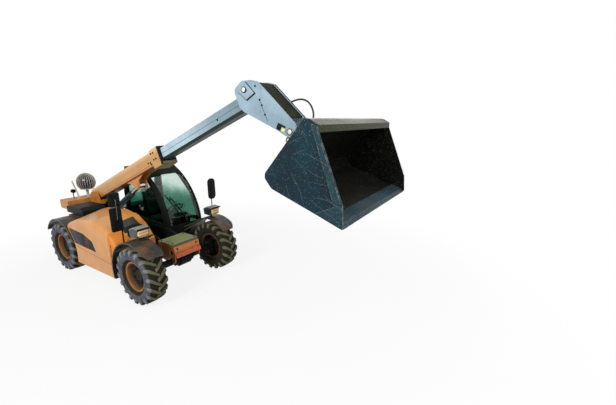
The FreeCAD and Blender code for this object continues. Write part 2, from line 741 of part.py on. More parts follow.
def cab_body(inset, low, high):
    """Solid of the cab's outline, inset from its faces; the right side's windscreen edge lies further back."""
    span = cab_left - cab_right

    def back_at(y):
        return cab_front_cut_back * (cab_left - y) / span

    return Part.makeLoft([cab_wire(low, inset, back_at(low)), cab_wire(high, inset, back_at(high))], True, True)


door_outline = [(cab_rear + 187, 652, 40), (cab_front - 66, 652, 30), (cab_front - 44, 860, 120),
                (cab_front - 66, 1010, 100), (cab_front - 208, 1395, 260), (cab_front - 548, 1770, 60),
                (cab_front - 738, 1850, 60), (cab_rear + 187, 1850, 40)]
side_window = [(cab_rear + 95, 960, 40), (cab_front - 208, 900, 60), (cab_front - 248, 1180, 120),
               (cab_front - 378, 1440, 160), (cab_front - 618, 1730, 60), (cab_rear + 175, 1840, 60)]
roof_window = (cab_rear + 215, cab_front - 798, 290, 770)


def grown(points, distance):
    """Closed outline moved outwards from its centre line by a distance, with its radii kept in step."""
    flat = [p[:2] for p in points]
    closed = [flat[-1]] + flat + [flat[0]]
    moved = offset_line(closed, -distance)[1:-1]
    return [m + (max(p[2] + distance, 4),) for m, p in zip(moved, points)]


def add_cab():
    outer = cab_body(0, cab_right, cab_left)
    inner = cab_body(cab_wall, cab_right + cab_wall, cab_left - cab_wall)
    shell = outer.cut(inner)
    front_reach = (cab_front - 618, cab_front + 82)
    rear_reach = (cab_rear - 65, cab_rear + 95)
    right_reach = (cab_right - 5, cab_right + cab_wall + 5)
    roof_reach = (cab_roof_z - cab_wall - 5, cab_roof_z + 5)
    front_window = [(236, 852, 40), (848, 852, 40), (848, 1770, 60), (236, 1770, 60)]
    rear_window = [(250, 980, 40), (830, 980, 40), (830, 1820, 60), (250, 1820, 60)]
    x0, x1, y0, y1 = roof_window
    top_window = [(x0, y0, 40), (x1, y0, 40), (x1, y1, 40), (x0, y1, 40)]
    # outline, axis, and how far the cut reaches along it
    windows = [(front_window, "x", front_reach), (rear_window, "x", rear_reach),
               (side_window, "y", right_reach), (top_window, "z", roof_reach)]
    doorway = plate(grown(door_outline, door_gap), "y", cab_left - cab_wall - 5, cab_left + 5)
    for points, axis, (low, high) in windows:
        shell = shell.cut(plate(points, axis, low, high))
    shell = shell.cut(doorway)
    for z in door_hinge_heights:
        knuckle = rod((door_hinge_x, door_hinge_y, z + 40.3), (door_hinge_x, door_hinge_y, z + 72), 9)
        tab = block(door_hinge_x - 40, door_hinge_x, cab_left, door_hinge_y + 4, z + 44, z + 70)
        shell = shell.fuse([knuckle, tab])
    nodes["cab_frame"] = shell

    fit = 0.5
    glass = []
    middle = 14.0
    layer = cab_body(middle, cab_right + middle, cab_left - middle).cut(
        cab_body(middle + glass_thick, cab_right + middle + glass_thick, cab_left - middle - glass_thick))
    panes = [plate(grown(points, -fit), axis, low, high) for points, axis, (low, high) in windows]
    for pane in panes:
        glass.append(layer.common(pane))
    nodes["cab_glass"] = Part.makeCompound([solid for piece in glass for solid in piece.Solids])

    door_outer = cab_left - 3.0
    door_inner = door_outer - door_thick
    leaf = plate(door_outline, "y", door_inner, door_outer)
    light = [(cab_rear + 245, 905, 50), (cab_front - 104, 905, 60), (cab_front - 118, 1000, 60),
             (cab_front - 248, 1375, 230), (cab_front - 573, 1712, 50), (cab_front - 748, 1795, 50),
             (cab_rear + 245, 1795, 50)]
    leaf = leaf.cut(plate(light, "y", door_inner - 5, door_outer + 5))
    low_light = [(cab_rear + 245, 705, 30), (cab_front - 108, 705, 30), (cab_front - 98, 845, 40),
                 (cab_rear + 245, 845, 40)]
    leaf = leaf.cut(plate(low_light, "y", door_inner - 5, door_outer + 5))
    for z in door_hinge_heights:
        knuckle = rod((door_hinge_x, door_hinge_y, z - 40), (door_hinge_x, door_hinge_y, z + 40), 9)
        tab = block(door_hinge_x, door_hinge_x + 60, cab_left + 2, door_hinge_y + 4, z - 34, z + 34)
        root = block(door_hinge_x + 16, door_hinge_x + 60, door_outer, cab_left + 2, z - 34, z + 34)
        leaf = leaf.fuse([knuckle, tab, root])
    grip_x = cab_front - 178
    handle = join(block(grip_x, grip_x + 16, door_outer, door_outer + 40, 1000, 1016),
                  block(grip_x, grip_x + 16, door_outer, door_outer + 40, 1140, 1156),
                  rod((grip_x + 8, door_outer + 32, 990), (grip_x + 8, door_outer + 32, 1166), 9))
    nodes["door_frame"] = leaf.fuse(handle).removeSplitter()
    pane_y = door_inner + 12
    nodes["door_glass"] = Part.makeCompound([
        plate(grown(light, -fit), "y", pane_y, pane_y + glass_thick),
        plate(grown(low_light, -fit), "y", pane_y, pane_y + glass_thick)])

    base = block(-330, 60, 400, 680, cab_floor + cab_wall, cab_floor + cab_wall + 160)
    nodes["seat_base"] = base
    top = cab_floor + cab_wall + 160
    cushion_line = [(-360, top, 30), (130, top, 50), (140, top + 110, 50), (-360, top + 90, 30)]
    cushion = plate(cushion_line, "y", 300, 780)
    back_line = [(-350, top + 90.8, 20), (-240, top + 95.3, 30), (-330, top + 690, 50), (-440, top + 680, 50)]
    backrest = plate(back_line, "y", 310, 770)
    nodes["seat_cushion"] = cushion
    nodes["seat_back"] = backrest
    front = cab_front - 158
    dash = plate([(front - 90, cab_floor + cab_wall, 0), (front, cab_floor + cab_wall, 0), (front, 980, 30),
                  (front - 120, 1010, 30), (front - 140, 940, 30)], "y", 330, 730)
    column = rod((front - 80, 530, 960), (front - 190, 530, 1085), 26)
    wheel = faceted_ring([(-10, 165), (10, 165), (14, 180), (0, 192), (-14, 180)], 24, (0, 0, 0))
    spokes = [block(-172, 172, -6, 6, -14, 14), block(-14, 14, -6, 6, -172, 0)]
    wheel = join(wheel, rod((0, -14, 0), (0, 14, 0), 40), *spokes)
    wheel.rotate(V(0, 0, 0), V(1, 0, 0), 90)
    wheel.rotate(V(0, 0, 0), V(0, 1, 0), -40)
    wheel.translate(V(front - 198, 530, 1094))
    lever = rod((-60, 235, 860), (-40, 240, 1040), 14)
    inner_y = cab_right + cab_wall
    side_console = block(-330, 120, inner_y, inner_y + 76, cab_floor + cab_wall, 870)
    nodes["controls"] = Part.makeCompound([join(dash, column, wheel), join(side_console, lever)])


def add_left_side():
    """Fuel tank and entry step under the cab."""
    rear, front = cab_front - 718, cab_front - 158
    tank = plate([(cab_right, 330, 10), (840, 330, 50), (840, cab_floor, 20), (cab_right, cab_floor, 10)],
                 "x", rear - 520, rear - 20)
    nodes["fuel_tank"] = tank
    cheeks = [plate([(560, 330, 30), (875, 330, 30), (875, 420, 20), (800, cab_floor), (560, cab_floor)],
                    "x", x, x + 12) for x in (rear, front - 12)]
    tread = block(rear, front, 600, 870, 345, 357)
    upper = block(rear, front, 600, 820, 470, 482)
    nodes["entry_step"] = join(cheeks[0], cheeks[1], tread, upper)


# Engine side: hood that opens, front cowl, skirt, engine

# x, crown height at the inner edge, shoulder height, shoulder radius
hood_stations = [(hood_rear_x - 30, 1120, 985, 70), (hood_rear_x + 240, 1190, 1076, 80), (60, 1246, 1166, 90),
                 (hood_front_x - 140, 1192, 1112, 90), (hood_front_x + 30, 1094, 1030, 80),
                 (hood_front_x + 140, 1000, 905, 70), (hood_front_x + 252, 856, 790, 50)]
# corners (x, z, radius) of the grille's recess and of the cowl's intake (y, z, radius)
side_recess = [(hood_rear_x + 178, 662, 14), (hood_rear_x + 910, 636, 14), (hood_rear_x + 820, 806, 14),
               (hood_rear_x + 550, 898, 20), (hood_rear_x + 25, 928, 14)]
cowl_window = [(-640, 930, 30), (-300, 930, 20), (-300, 1080, 60), (-560, 1080, 60)]


def hood_wire(station, inset, low):
    """Cross-section (y, z) of the engine cover at one place along X, open towards the ground."""
    x, crown, shoulder, radius = station
    outer_y = hood_outer_y + inset
    inner_y = hood_inner_y - inset
    crown_z = crown - inset
    shoulder_z = shoulder - inset
    points = [(inner_y, low), (inner_y, crown_z, 18), (outer_y, shoulder_z, radius), (outer_y, low)]
    return outline(points, "x", x)


def hood_loft(stations, inset, low):
    return Part.makeLoft([hood_wire(s, inset, low) for s in stations], True, True)


def add_engine_side():
    low = skirt_bottom
    whole = hood_loft(hood_stations, 0, low)
    hollow_stations = [(hood_stations[0][0] - 20,) + hood_stations[0][1:]] + hood_stations[1:-1]
    hollow_stations.append((hood_stations[-1][0] - 14,) + hood_stations[-1][1:])
    hollow = hood_loft(hollow_stations, hood_wall, low - 1)
    reach = fender_inner + fender_thick + 8
    inner_reach = math.hypot(tyre_radius, tyre_width / 2 - kingpin_offset) + 20
    wheel_inner = half_track - tyre_width / 2 - 10
    arches = []
    for x in (-axle_x, axle_x):
        arches.append(rod((x, -1000, tyre_radius), (x, -wheel_inner, tyre_radius), reach))
        arches.append(rod((x, -wheel_inner, tyre_radius), (x, -300, tyre_radius), inner_reach))
    skin = whole.cut(hollow)
    for arch in arches:
        skin = skin.cut(arch)

    gap = 8.0
    hood_zone = plate([(hood_rear_x, crease_rear_z + gap), (hood_front_x, crease_front_z + gap),
                       (hood_front_x, 1400), (hood_rear_x, 1400)], "y", -1000, hood_inner_y - 0.5)
    hood = skin.common(hood_zone)
    recess = plate(side_recess, "y", hood_outer_y - 5, hood_outer_y + hood_wall + 5)
    hood = hood.cut(recess)
    hood = hood.cut(block(-900, 900, hood_inner_y - 16, hood_inner_y + 5, 0, hood_lip_z))
    for x in hood_hinge_places:
        arm = block(x, x + 40, hood_inner_y - 8, hood_hinge_y - 2, hood_hinge_z - 32, hood_hinge_z - 6)
        eye = rod((x, hood_hinge_y, hood_hinge_z), (x + 40, hood_hinge_y, hood_hinge_z), 7)
        hood = hood.fuse([arm, eye])
    nodes["hood_shell"] = hood

    grille = plate(grown(side_recess, -0.5), "y", hood_outer_y + 4, hood_outer_y + hood_wall)
    slats = []
    for k in range(8):
        z = 668 + 32 * k
        slats.append(block(hood_rear_x, hood_front_x, hood_outer_y + 0.5, hood_outer_y + 6, z, z + 14))
    grille_zone = plate(grown(side_recess, -12), "y", hood_outer_y - 1, hood_outer_y + hood_wall)
    slats = [slat.common(grille_zone) for slat in slats]
    nodes["hood_grille"] = join(grille, *slats)

    cowl_zone = block(hood_front_x + gap, hood_front_x + 440, -1000, 0, low, 1400)
    cowl = skin.common(cowl_zone)
    window = plate(cowl_window, "x", hood_front_x, hood_front_x + 440)
    skirt_zone = plate([(hood_rear_x - 200, low), (hood_front_x + gap, low), (hood_front_x + gap, crease_front_z),
                        (hood_rear_x - 200, crease_rear_z + 14)], "y", -1000, hood_outer_y + 60)
    skirt = skin.common(skirt_zone)
    belly = block(rear_x + 530, axle_x - 530, hood_outer_y, -frame_outer, low, low + 12)
    cowl = cowl.cut(block(hood_front_x - 60, hood_front_x + 160, hood_inner_y - 16, hood_inner_y + 5, 0,
                          hood_lip_z - 90))
    for arch in arches:
        belly = belly.cut(arch)
    belly = belly.cut(cowl)
    web = block(-30, 0, -frame_outer - 50, -frame_outer, low + 12, frame_bottom + 90)
    bulkhead = hollow.common(block(bulkhead_x - 12, bulkhead_x, hood_outer_y, -frame_outer, low + 12, 1030))
    bulkhead = bulkhead.fuse(block(bulkhead_x - 12, bulkhead_x, -260, -frame_outer, low + 12, 800))
    for arch in arches:
        bulkhead = bulkhead.cut(arch)
    slot_x = hood_front_x + 25
    slot = plate([(slot_x, 655, 6), (slot_x + 28, 655, 6), (slot_x + 56, 875, 6), (slot_x + 28, 875, 6)], "y",
                 hood_outer_y - 5, hood_outer_y + hood_wall + 5)
    nodes["front_cowl"] = cowl.cut([window, slot])
    nodes["side_skirt"] = join(skirt, belly, web, bulkhead)
    wall_rear, wall_front, wall_low = hood_rear_x + 20, bulkhead_x - 12.3, 640
    wall = join(block(wall_rear, wall_front, bay_wall_y - 10, bay_wall_y, wall_low, 1150),
                block(wall_rear + 80, wall_front, bay_wall_y - 10, -frame_outer, wall_low, wall_low + 12))
    for x in hood_hinge_places:
        pin = rod((x + 40.3, hood_hinge_y, hood_hinge_z), (x + 70, hood_hinge_y, hood_hinge_z), 7)
        tab = block(x + 44, x + 66, hood_hinge_y - 3, bay_wall_y, 1120, hood_hinge_z)
        wall = wall.fuse([pin, tab])
    nodes["bay_wall"] = wall.removeSplitter()
    nodes["cowl_grille"] = cowl.common(plate(grown(cowl_window, -0.5), "x", hood_front_x, hood_front_x + 440))
    nodes["engine"] = block(hood_rear_x + 280, hood_front_x - 180, -760, -frame_outer - 60, low + 12, 1010)


# Fenders, lamps, mirrors

def make_fender(x, start, end, side, front_round):
    """Arched cover over a wheel, start to end in degrees from straight ahead, rounded at its front end."""
    outer_y = half_track + tyre_width / 2 - 4
    inner_y = half_track - tyre_width / 2 + 10
    inner_end, outer_end = (x, inner_y, tyre_radius), (x, outer_y, tyre_radius)
    ring = pipe(inner_end, outer_end, fender_inner + fender_thick, fender_inner)
    lip = pipe((x, outer_y - 10, tyre_radius), (x, outer_y, tyre_radius), fender_inner + fender_thick,
               fender_inner - 4)
    reach = 1500.0
    a, b = math.radians(start), math.radians(end)
    middle = (a + b) / 2
    wedge = [(x, tyre_radius)]
    for turn in (a, (a + middle) / 2, middle, (middle + b) / 2, b):
        wedge.append((x + reach * math.cos(turn), tyre_radius + reach * math.sin(turn)))
    shape = ring.fuse(lip).common(plate(wedge, "y", 0, 1000))
    plan = plate([(x - 700, inner_y - 5), (x + front_round, inner_y - 5, 60), (x + front_round, outer_y + 5, 150),
                  (x - 700, outer_y + 5)], "z", 0, 1500)
    shape = shape.common(plan)
    return shape if side > 0 else mirrored(shape)


def add_fenders():
    z_top = tyre_radius + fender_inner + fender_thick
    fronts = []
    stay_x = axle_x + 10
    for side in (-1, 1):
        fender = make_fender(axle_x, 42, 196, side, 430)
        y = side * 500.0
        inner = side * (half_track - tyre_width / 2 + 10)
        stays = []
        for lift in (0, 70):
            foot = V(bulkhead_x, y, 700 + lift)
            knee = V(stay_x, y, z_top + 18)
            stays.append(rod(foot, knee, 13))
            stays.append(Part.makeSphere(13, knee))
        post_y = side * (half_track - 40)
        bridge = rod((stay_x, y, z_top + 18), (stay_x, post_y - side * 20, z_top + 14), 13)
        post = rod((stay_x, post_y, z_top - 6), (stay_x, post_y, z_top + 60), 16)
        near, far = sorted((inner, inner + side * 150))
        foot_block = block(stay_x - 50, stay_x + 50, near, far, z_top - 4, z_top + 14)
        shape = fender.fuse([foot_block, bridge, post] + stays)
        if side > 0:
            shape = shape.cut(cab_body(0, cab_right, cab_left))
        else:
            shape = shape.cut([nodes["front_cowl"], nodes["side_skirt"]])
        fronts.append(shape)
    nodes["front_fenders"] = Part.makeCompound(fronts)
    rears = []
    for side in (-1, 1):
        fender = make_fender(-axle_x, 40 if side > 0 else 22, 150, side, 700)
        y0, y1 = sorted((side * frame_outer, side * (half_track - tyre_width / 2 + 20)))
        stay = block(-axle_x - 220, -axle_x + 180, y0, y1, z_top - 40, z_top - 14)
        shape = fender.fuse(stay)
        rears.append(shape.cut(cab_body(0, cab_right, cab_left)) if side > 0 else shape)
    nodes["rear_fenders"] = Part.makeCompound(rears)


def add_lamps():
    z_post = tyre_radius + fender_inner + fender_thick + 60
    x = axle_x + 10
    lamps = []
    for side in (-1, 1):
        y = side * (half_track - 40)
        z = z_post + 76
        shell = plate([(x - 90, z - 70, 30), (x + 90, z - 76, 20), (x + 110, z + 70, 30), (x, z + 82, 40),
                       (x - 100, z + 40, 30)], "y", y - 95, y + 95)
        shell = shell.fuse(block(x - 20, x + 20, y - 20, y + 20, z_post, z_post + 20))
        bowl = rod((x + 82, y, z), (x + 140, y, z), 62)
        lamps.append(shell.cut(bowl))
    for side in (-1, 1):
        y = side * 430
        lamps.append(block(rear_beam_tail - 14, rear_beam_tail - 0.3, y - 45, y + 45, 1050, 1130))
    nodes["lamp_housings"] = Part.makeCompound(lamps)


def add_mirrors():
    rim = 26.0
    rod_x, rod_y = axle_x - 400.0, -740.0
    right = rod((rod_x, rod_y, 845), (rod_x, rod_y, 1700), 11)
    main = plate([(-905, 1120, 24), (-690, 1120, 24), (-690, 1500, 24), (-905, 1500, 24)], "x",
                 rod_x + 14, rod_x + 14 + rim)
    wide = plate([(-890, 1520, 24), (-700, 1520, 24), (-700, 1730, 24), (-890, 1730, 24)], "x",
                 rod_x + 14, rod_x + 14 + rim)
    clamps = [block(rod_x - 12, rod_x + 20, rod_y - 16, rod_y + 16, z, z + 40) for z in (1200, 1420, 1600)]
    right = join(right, main, wide, *clamps).cut([nodes["front_fenders"], nodes["front_cowl"]])
    left_x = axle_x - 50
    left_y = half_track + 40
    z0 = tyre_radius + fender_inner + fender_thick + 136
    left = join(rod((left_x, left_y, z0), (left_x, left_y, 1740), 11),
                plate([(left_y - 90, 1350, 24), (left_y + 90, 1350, 24), (left_y + 90, 1740, 24),
                       (left_y - 90, 1740, 24)], "x", left_x + 14, left_x + 14 + rim),
                block(left_x - 12, left_x + 20, left_y - 16, left_y + 16, 1450, 1490),
                block(left_x - 12, left_x + 20, left_y - 16, left_y + 16, 1620, 1660))
    nodes["mirrors"] = Part.makeCompound([right, left.cut(nodes["lamp_housings"])])


def add_rear_cover():
    """Rounded box behind the hood, between the boom's tower and the rear fender."""
    rear, front, low, high = pivot_x - 260, hood_rear_x - 40, 1040, 1192
    line = [(rear, low, 20), (front, low, 20), (front, high - 60, 20), (front - 90, high, 50),
            (rear, high - 30, 40)]
    nodes["rear_cover"] = plate(line, "y", -585, -frame_outer - 0.3)


def add_beacon():
    """Egg-shaped beacon under a cage of bent ribs, on a stem from the rear cover."""
    x, y, stem_foot, dish_z, middle_z = rear_x - 560.0, -60.0, 1210, 1384, 1530
    stem = rod((x, y, stem_foot), (x, y, dish_z), 26)
    dish = rod((x, y, dish_z), (x, y, dish_z + 18), 122)
    ribs = []
    wide, tall, bar, count = 176.0, 190.0, 10.0, 12
    arc = [math.radians(a) for a in (-48, -28, -8, 12, 32, 52, 72, 90)]
    outer = [(wide * math.cos(a), middle_z + tall * math.sin(a)) for a in arc]
    inner = [((wide - bar) * math.cos(a), middle_z + (tall - bar) * math.sin(a)) for a in arc]
    for k in range(count):
        rib = plate(outer + inner[::-1], "y", -4, 4)
        rib.rotate(V(0, 0, 0), V(0, 0, 1), 360.0 * k / count)
        rib.translate(V(x, y, 0))
        ribs.append(rib)
    crown = rod((x, y, middle_z + tall - 14), (x, y, middle_z + tall + 3), 18)
    nodes["beacon_guard"] = join(dish, stem, crown, *ribs)
    # height over the dish, radius
    dome = [(0, 0.0), (0, 84.0), (60, 118.0), (130, 126.0), (200, 112.0), (260, 74.0), (285, 30.0), (290, 0.0)]
    lens = faceted_ring(dome, 20, (0, 0, 0), closed=False)
    lens.rotate(V(0, 0, 0), V(1, 0, 0), 90)
    lens.translate(V(x, y, dish_z + 18.0))
    nodes["beacon_lens"] = lens


def main():
    add_wheels()
    nodes["front_axle"] = make_axle(axle_x)
    nodes["rear_axle"] = make_axle(-axle_x)
    nodes["chassis"] = make_chassis()
    nodes["front_box"] = make_front_box()
    nodes["bumper_bar"] = make_bumper_bar()
    nodes["rear_beam"] = make_rear_beam()
    nodes["counterweight"] = make_counterweight()
    nodes["hitch"] = make_hitch()
    nodes["boom_tube"] = make_boom()
    nodes["fly_tube"] = make_fly()
    nodes["nose"] = make_nose()
    nodes["nose_cover"] = make_nose_cover()
    nodes["nose_hose"] = make_hose()
    nodes["carriage"] = make_carriage()
    nodes["bucket"] = make_bucket()
    nodes["cutting_edge"] = make_cutting_edge()
    add_cylinders()
    add_cab()
    add_left_side()
    add_engine_side()
    add_fenders()
    add_lamps()
    add_mirrors()
    add_rear_cover()
    add_beacon()


main()

box = Part.makeCompound(list(nodes.values())).BoundBox
shift = V(-(box.XMin + box.XMax) / 2, -(box.YMin + box.YMax) / 2, -box.ZMin)
os.makedirs("parts", exist_ok=True)
for name, shape in nodes.items():
    shape.translate(shift)
    shape.exportStep("parts/" + name + ".step")
print(len(nodes), "nodes, shift", [round(a, 2) for a in shift])
for name, shape in nodes.items():
    print(name, len(shape.Solids), round(shape.Volume / 1e6, 2), shape.isValid())
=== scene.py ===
# %% [markdown]
# # A telescopic handler in Blender
# The machine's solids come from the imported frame, each at its real size and place. This lesson gives them their
# finishes, and makes in Blender what a solid model leaves plain: round tyres with moulded lugs, smooth rims, bolts,
# lamp glass, seat pads and a rubber hose. Every piece is written in metres in the frame's own axes, X forward,
# Y to the machine's left, Z up.

# %% Load the frame
import math

import bmesh
import bpy
from mathutils import Matrix, Vector


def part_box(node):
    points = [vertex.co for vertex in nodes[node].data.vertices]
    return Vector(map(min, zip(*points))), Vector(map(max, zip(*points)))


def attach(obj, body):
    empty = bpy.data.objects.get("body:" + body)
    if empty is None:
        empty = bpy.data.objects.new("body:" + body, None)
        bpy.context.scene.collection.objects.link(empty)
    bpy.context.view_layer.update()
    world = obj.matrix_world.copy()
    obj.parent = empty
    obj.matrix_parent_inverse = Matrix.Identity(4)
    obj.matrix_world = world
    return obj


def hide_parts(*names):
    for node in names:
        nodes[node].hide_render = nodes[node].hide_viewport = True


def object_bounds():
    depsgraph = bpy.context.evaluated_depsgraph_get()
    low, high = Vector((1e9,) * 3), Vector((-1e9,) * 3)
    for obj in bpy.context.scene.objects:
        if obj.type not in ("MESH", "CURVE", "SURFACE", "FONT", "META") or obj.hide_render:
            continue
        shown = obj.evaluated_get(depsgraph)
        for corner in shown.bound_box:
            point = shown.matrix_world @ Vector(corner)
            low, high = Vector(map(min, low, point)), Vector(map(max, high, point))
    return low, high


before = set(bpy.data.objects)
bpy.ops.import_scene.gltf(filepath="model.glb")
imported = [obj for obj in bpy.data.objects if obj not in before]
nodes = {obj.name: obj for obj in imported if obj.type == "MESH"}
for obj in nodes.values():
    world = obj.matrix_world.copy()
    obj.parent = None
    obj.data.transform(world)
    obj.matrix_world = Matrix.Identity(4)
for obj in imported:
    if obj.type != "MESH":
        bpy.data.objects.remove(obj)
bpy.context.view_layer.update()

# %% [markdown]
# ## Where things are
# The machine was drawn about a point on the ground half way between its axles, and the frame was then moved so that
# its origin is the middle of the whole outer box. Reading the two axles' boxes gives that move back, so sizes here
# can be the ones that a maker would know: so far ahead of the middle of the wheelbase, so high over the ground.

# %% Places in the machine's own measures


def middle(node):
    low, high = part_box(node)
    return (low + high) / 2


DATUM_X = (middle("front_axle").x + middle("rear_axle").x) / 2
BOOM_PIVOT = (-1.22, 1.30)
BOOM_ANGLE = math.radians(22)
SIDES = {"front_right": -1, "front_left": 1, "rear_right": -1, "rear_left": 1}


def at(x, y, z):
    """A place given from the middle of the wheelbase, in the frame's axes."""
    return Vector((x + DATUM_X, y, z))


def on_boom(s, y, n):
    """A place given along the boom from its pivot, and square to it."""
    c, d = math.cos(BOOM_ANGLE), math.sin(BOOM_ANGLE)
    return at(BOOM_PIVOT[0] + s * c - n * d, y, BOOM_PIVOT[1] + s * d + n * c)


print("middle of the wheelbase at x =", round(DATUM_X, 4))

# %% [markdown]
# ## The camera
# The photograph was taken from a raised place in front of the machine, on its right side, with a wide lens. Its place
# and lens were worked out from the machine's own corners, so the picture here has the same perspective.

# %% Camera
CAMERA_PLACE = (5.8199, -3.296, 2.7997)
CAMERA_AIM = Vector((-0.5126, 0.8217, -0.2490))
CAMERA_ROLL = -0.0026
CAMERA_LENS = 18.93

camera_data = bpy.data.cameras.new("camera")
camera_data.lens = CAMERA_LENS
camera_data.sensor_width = 36.0
camera = bpy.data.objects.new("camera", camera_data)
turn = CAMERA_AIM.to_track_quat("-Z", "Y").to_matrix() @ Matrix.Rotation(CAMERA_ROLL, 3, "Z")
camera.matrix_world = Matrix.Translation(at(*CAMERA_PLACE)) @ turn.to_4x4()
bpy.context.scene.collection.objects.link(camera)
bpy.context.scene.camera = camera
bpy.context.scene.view_settings.view_transform = "Standard"
print("camera at", [round(v, 2) for v in camera.location], "lens", CAMERA_LENS)

# %% [markdown]
# ## Helpers for nodes
# A material or a geometry tree is a list of nodes and the links between them. One helper makes a node, sets its
# options and fills its sockets: a plain value is written into the socket, and another node's output is linked to it.

# %% Node helpers


def add(tree, kind, values=None, **options):
    made = tree.nodes.new(kind)
    for name, value in options.items():
        setattr(made, name, value)
    for key, value in (values or {}).items():
        if isinstance(value, bpy.types.NodeSocket):
            tree.links.new(value, made.inputs[key])
        else:
            made.inputs[key].default_value = value
    return made


def maths(tree, operation, a, b=0.0, clamp=False):
    return add(tree, "ShaderNodeMath", {0: a, 1: b}, operation=operation, use_clamp=clamp).outputs[0]


def rescale(tree, value, low, high, to_low=0.0, to_high=1.0):
    made = add(tree, "ShaderNodeMapRange", {"Value": value, "From Min": low, "From Max": high,
                                            "To Min": to_low, "To Max": to_high}, interpolation_type="SMOOTHSTEP")
    return made.outputs["Result"]


def noise(tree, vector, scale, detail=4.0, roughness=0.6, distortion=0.0):
    return add(tree, "ShaderNodeTexNoise", {"Vector": vector, "Scale": scale, "Detail": detail,
                                            "Roughness": roughness, "Distortion": distortion}).outputs["Fac"]


def stretched(tree, scale=(1.0, 1.0, 1.0), turn=(0.0, 0.0, 0.0)):
    """Object coordinates, stretched and turned by a Mapping node."""
    place = add(tree, "ShaderNodeTexCoord").outputs["Object"]
    return add(tree, "ShaderNodeMapping", {"Vector": place, "Scale": scale, "Rotation": turn}).outputs["Vector"]


def mixed(tree, mask, first, second):
    made = add(tree, "ShaderNodeMix", {0: mask, 6: first, 7: second}, data_type="RGBA")
    return made.outputs[2]


def new_group(name, inputs, outputs):
    """An empty shader group with float or colour inputs (name, kind, value) and outputs (name, kind)."""
    group = bpy.data.node_groups.new(name, "ShaderNodeTree")
    kinds = {"value": "NodeSocketFloat", "colour": "NodeSocketColor"}
    for label, kind, value in inputs:
        socket = group.interface.new_socket(label, in_out="INPUT", socket_type=kinds[kind])
        socket.default_value = value
    for label, kind in outputs:
        group.interface.new_socket(label, in_out="OUTPUT", socket_type=kinds[kind])
    return group, group.nodes.new("NodeGroupInput"), group.nodes.new("NodeGroupOutput")


def use(tree, group, values):
    made = tree.nodes.new("ShaderNodeGroup")
    made.node_tree = group
    for key, value in values.items():
        if isinstance(value, bpy.types.NodeSocket):
            tree.links.new(value, made.inputs[key])
        else:
            made.inputs[key].default_value = value
    return made


print("node helpers ready")

# %% [markdown]
# ## Dust, worn edges, stains and scratches
# A working machine tells its story in the same few ways on every panel. Dust settles on what faces up and in broad
# patches, paint rubs off along edges, rain draws stains downwards, and loading scratches the steel. Each effect is
# one node group, so that every finish can take as much of it as it needs. The dust reads the surface's own
# direction before any joint moves it, so it stays where it lies when the boom goes up.

# %% Shared effects


def make_dust_group():
    group, entry, result = new_group("dust", [("Amount", "value", 0.5), ("Scale", "value", 3.0)], [("Mask", "value")])
    coordinates = add(group, "ShaderNodeTexCoord")
    facing = add(group, "ShaderNodeSeparateXYZ", {"Vector": coordinates.outputs["Normal"]}).outputs["Z"]
    top = rescale(group, facing, 0.1, 1.0, 0.35, 1.0)
    patches = noise(group, coordinates.outputs["Object"], entry.outputs["Scale"], 6.0, 0.65)
    patches = rescale(group, patches, 0.38, 0.66)
    mask = maths(group, "MULTIPLY", top, patches)
    mask = maths(group, "MULTIPLY", mask, entry.outputs["Amount"], clamp=True)
    group.links.new(mask, result.inputs["Mask"])
    return group


def make_wear_group():
    group, entry, result = new_group("edge_wear", [("Amount", "value", 0.5), ("Width", "value", 0.006)],
                                     [("Mask", "value")])
    rounded = add(group, "ShaderNodeBevel", {"Radius": entry.outputs["Width"]}, samples=4).outputs["Normal"]
    flat = add(group, "ShaderNodeNewGeometry").outputs["Normal"]
    same = add(group, "ShaderNodeVectorMath", {0: rounded, 1: flat}, operation="DOT_PRODUCT").outputs["Value"]
    edge = rescale(group, same, 0.995, 0.88)
    chips = rescale(group, noise(group, stretched(group), 22.0, 8.0, 0.7), 0.42, 0.60)
    mask = maths(group, "MULTIPLY", edge, chips)
    mask = maths(group, "MULTIPLY", mask, entry.outputs["Amount"], clamp=True)
    group.links.new(mask, result.inputs["Mask"])
    return group


def make_stain_group():
    group, entry, result = new_group("stains", [("Amount", "value", 0.5), ("Scale", "value", 6.0)],
                                     [("Mask", "value")])
    lines = add(group, "ShaderNodeTexNoise", {"Vector": stretched(group, (3.0, 3.0, 0.25)),
                                              "Scale": entry.outputs["Scale"], "Detail": 5.0}).outputs["Fac"]
    mask = maths(group, "MULTIPLY", rescale(group, lines, 0.50, 0.72), entry.outputs["Amount"], clamp=True)
    group.links.new(mask, result.inputs["Mask"])
    return group


def make_scratch_group():
    """Long sweeping scratches from four families of bent bands, each seen only in patches, and fine specks."""
    group, entry, result = new_group("scratches", [("Amount", "value", 0.5), ("Scale", "value", 2.6)],
                                     [("Mask", "value")])
    mask = rescale(group, noise(group, stretched(group), 95.0, 2.0, 0.5), 0.665, 0.72)
    for angle, bend in ((1.05, 4.0), (1.45, 5.0), (2.05, 6.0), (0.40, 6.0)):
        place = stretched(group, (1.0, 1.0, 1.0), (0.1, angle, 0.1))
        bands = add(group, "ShaderNodeTexWave", {"Vector": place, "Scale": entry.outputs["Scale"],
                                                 "Distortion": bend, "Detail": 2.0, "Detail Scale": 0.7})
        line = rescale(group, bands.outputs["Fac"], 0.9992, 1.0)
        here = rescale(group, noise(group, place, 3.4, 4.0), 0.50, 0.60)
        mask = maths(group, "MAXIMUM", mask, maths(group, "MULTIPLY", line, here))
    mask = maths(group, "MULTIPLY", mask, entry.outputs["Amount"], clamp=True)
    group.links.new(mask, result.inputs["Mask"])
    return group


DUST_GROUP = make_dust_group()
WEAR_GROUP = make_wear_group()
STAIN_GROUP = make_stain_group()
SCRATCH_GROUP = make_scratch_group()
print("effect groups:", [g.name for g in bpy.data.node_groups])

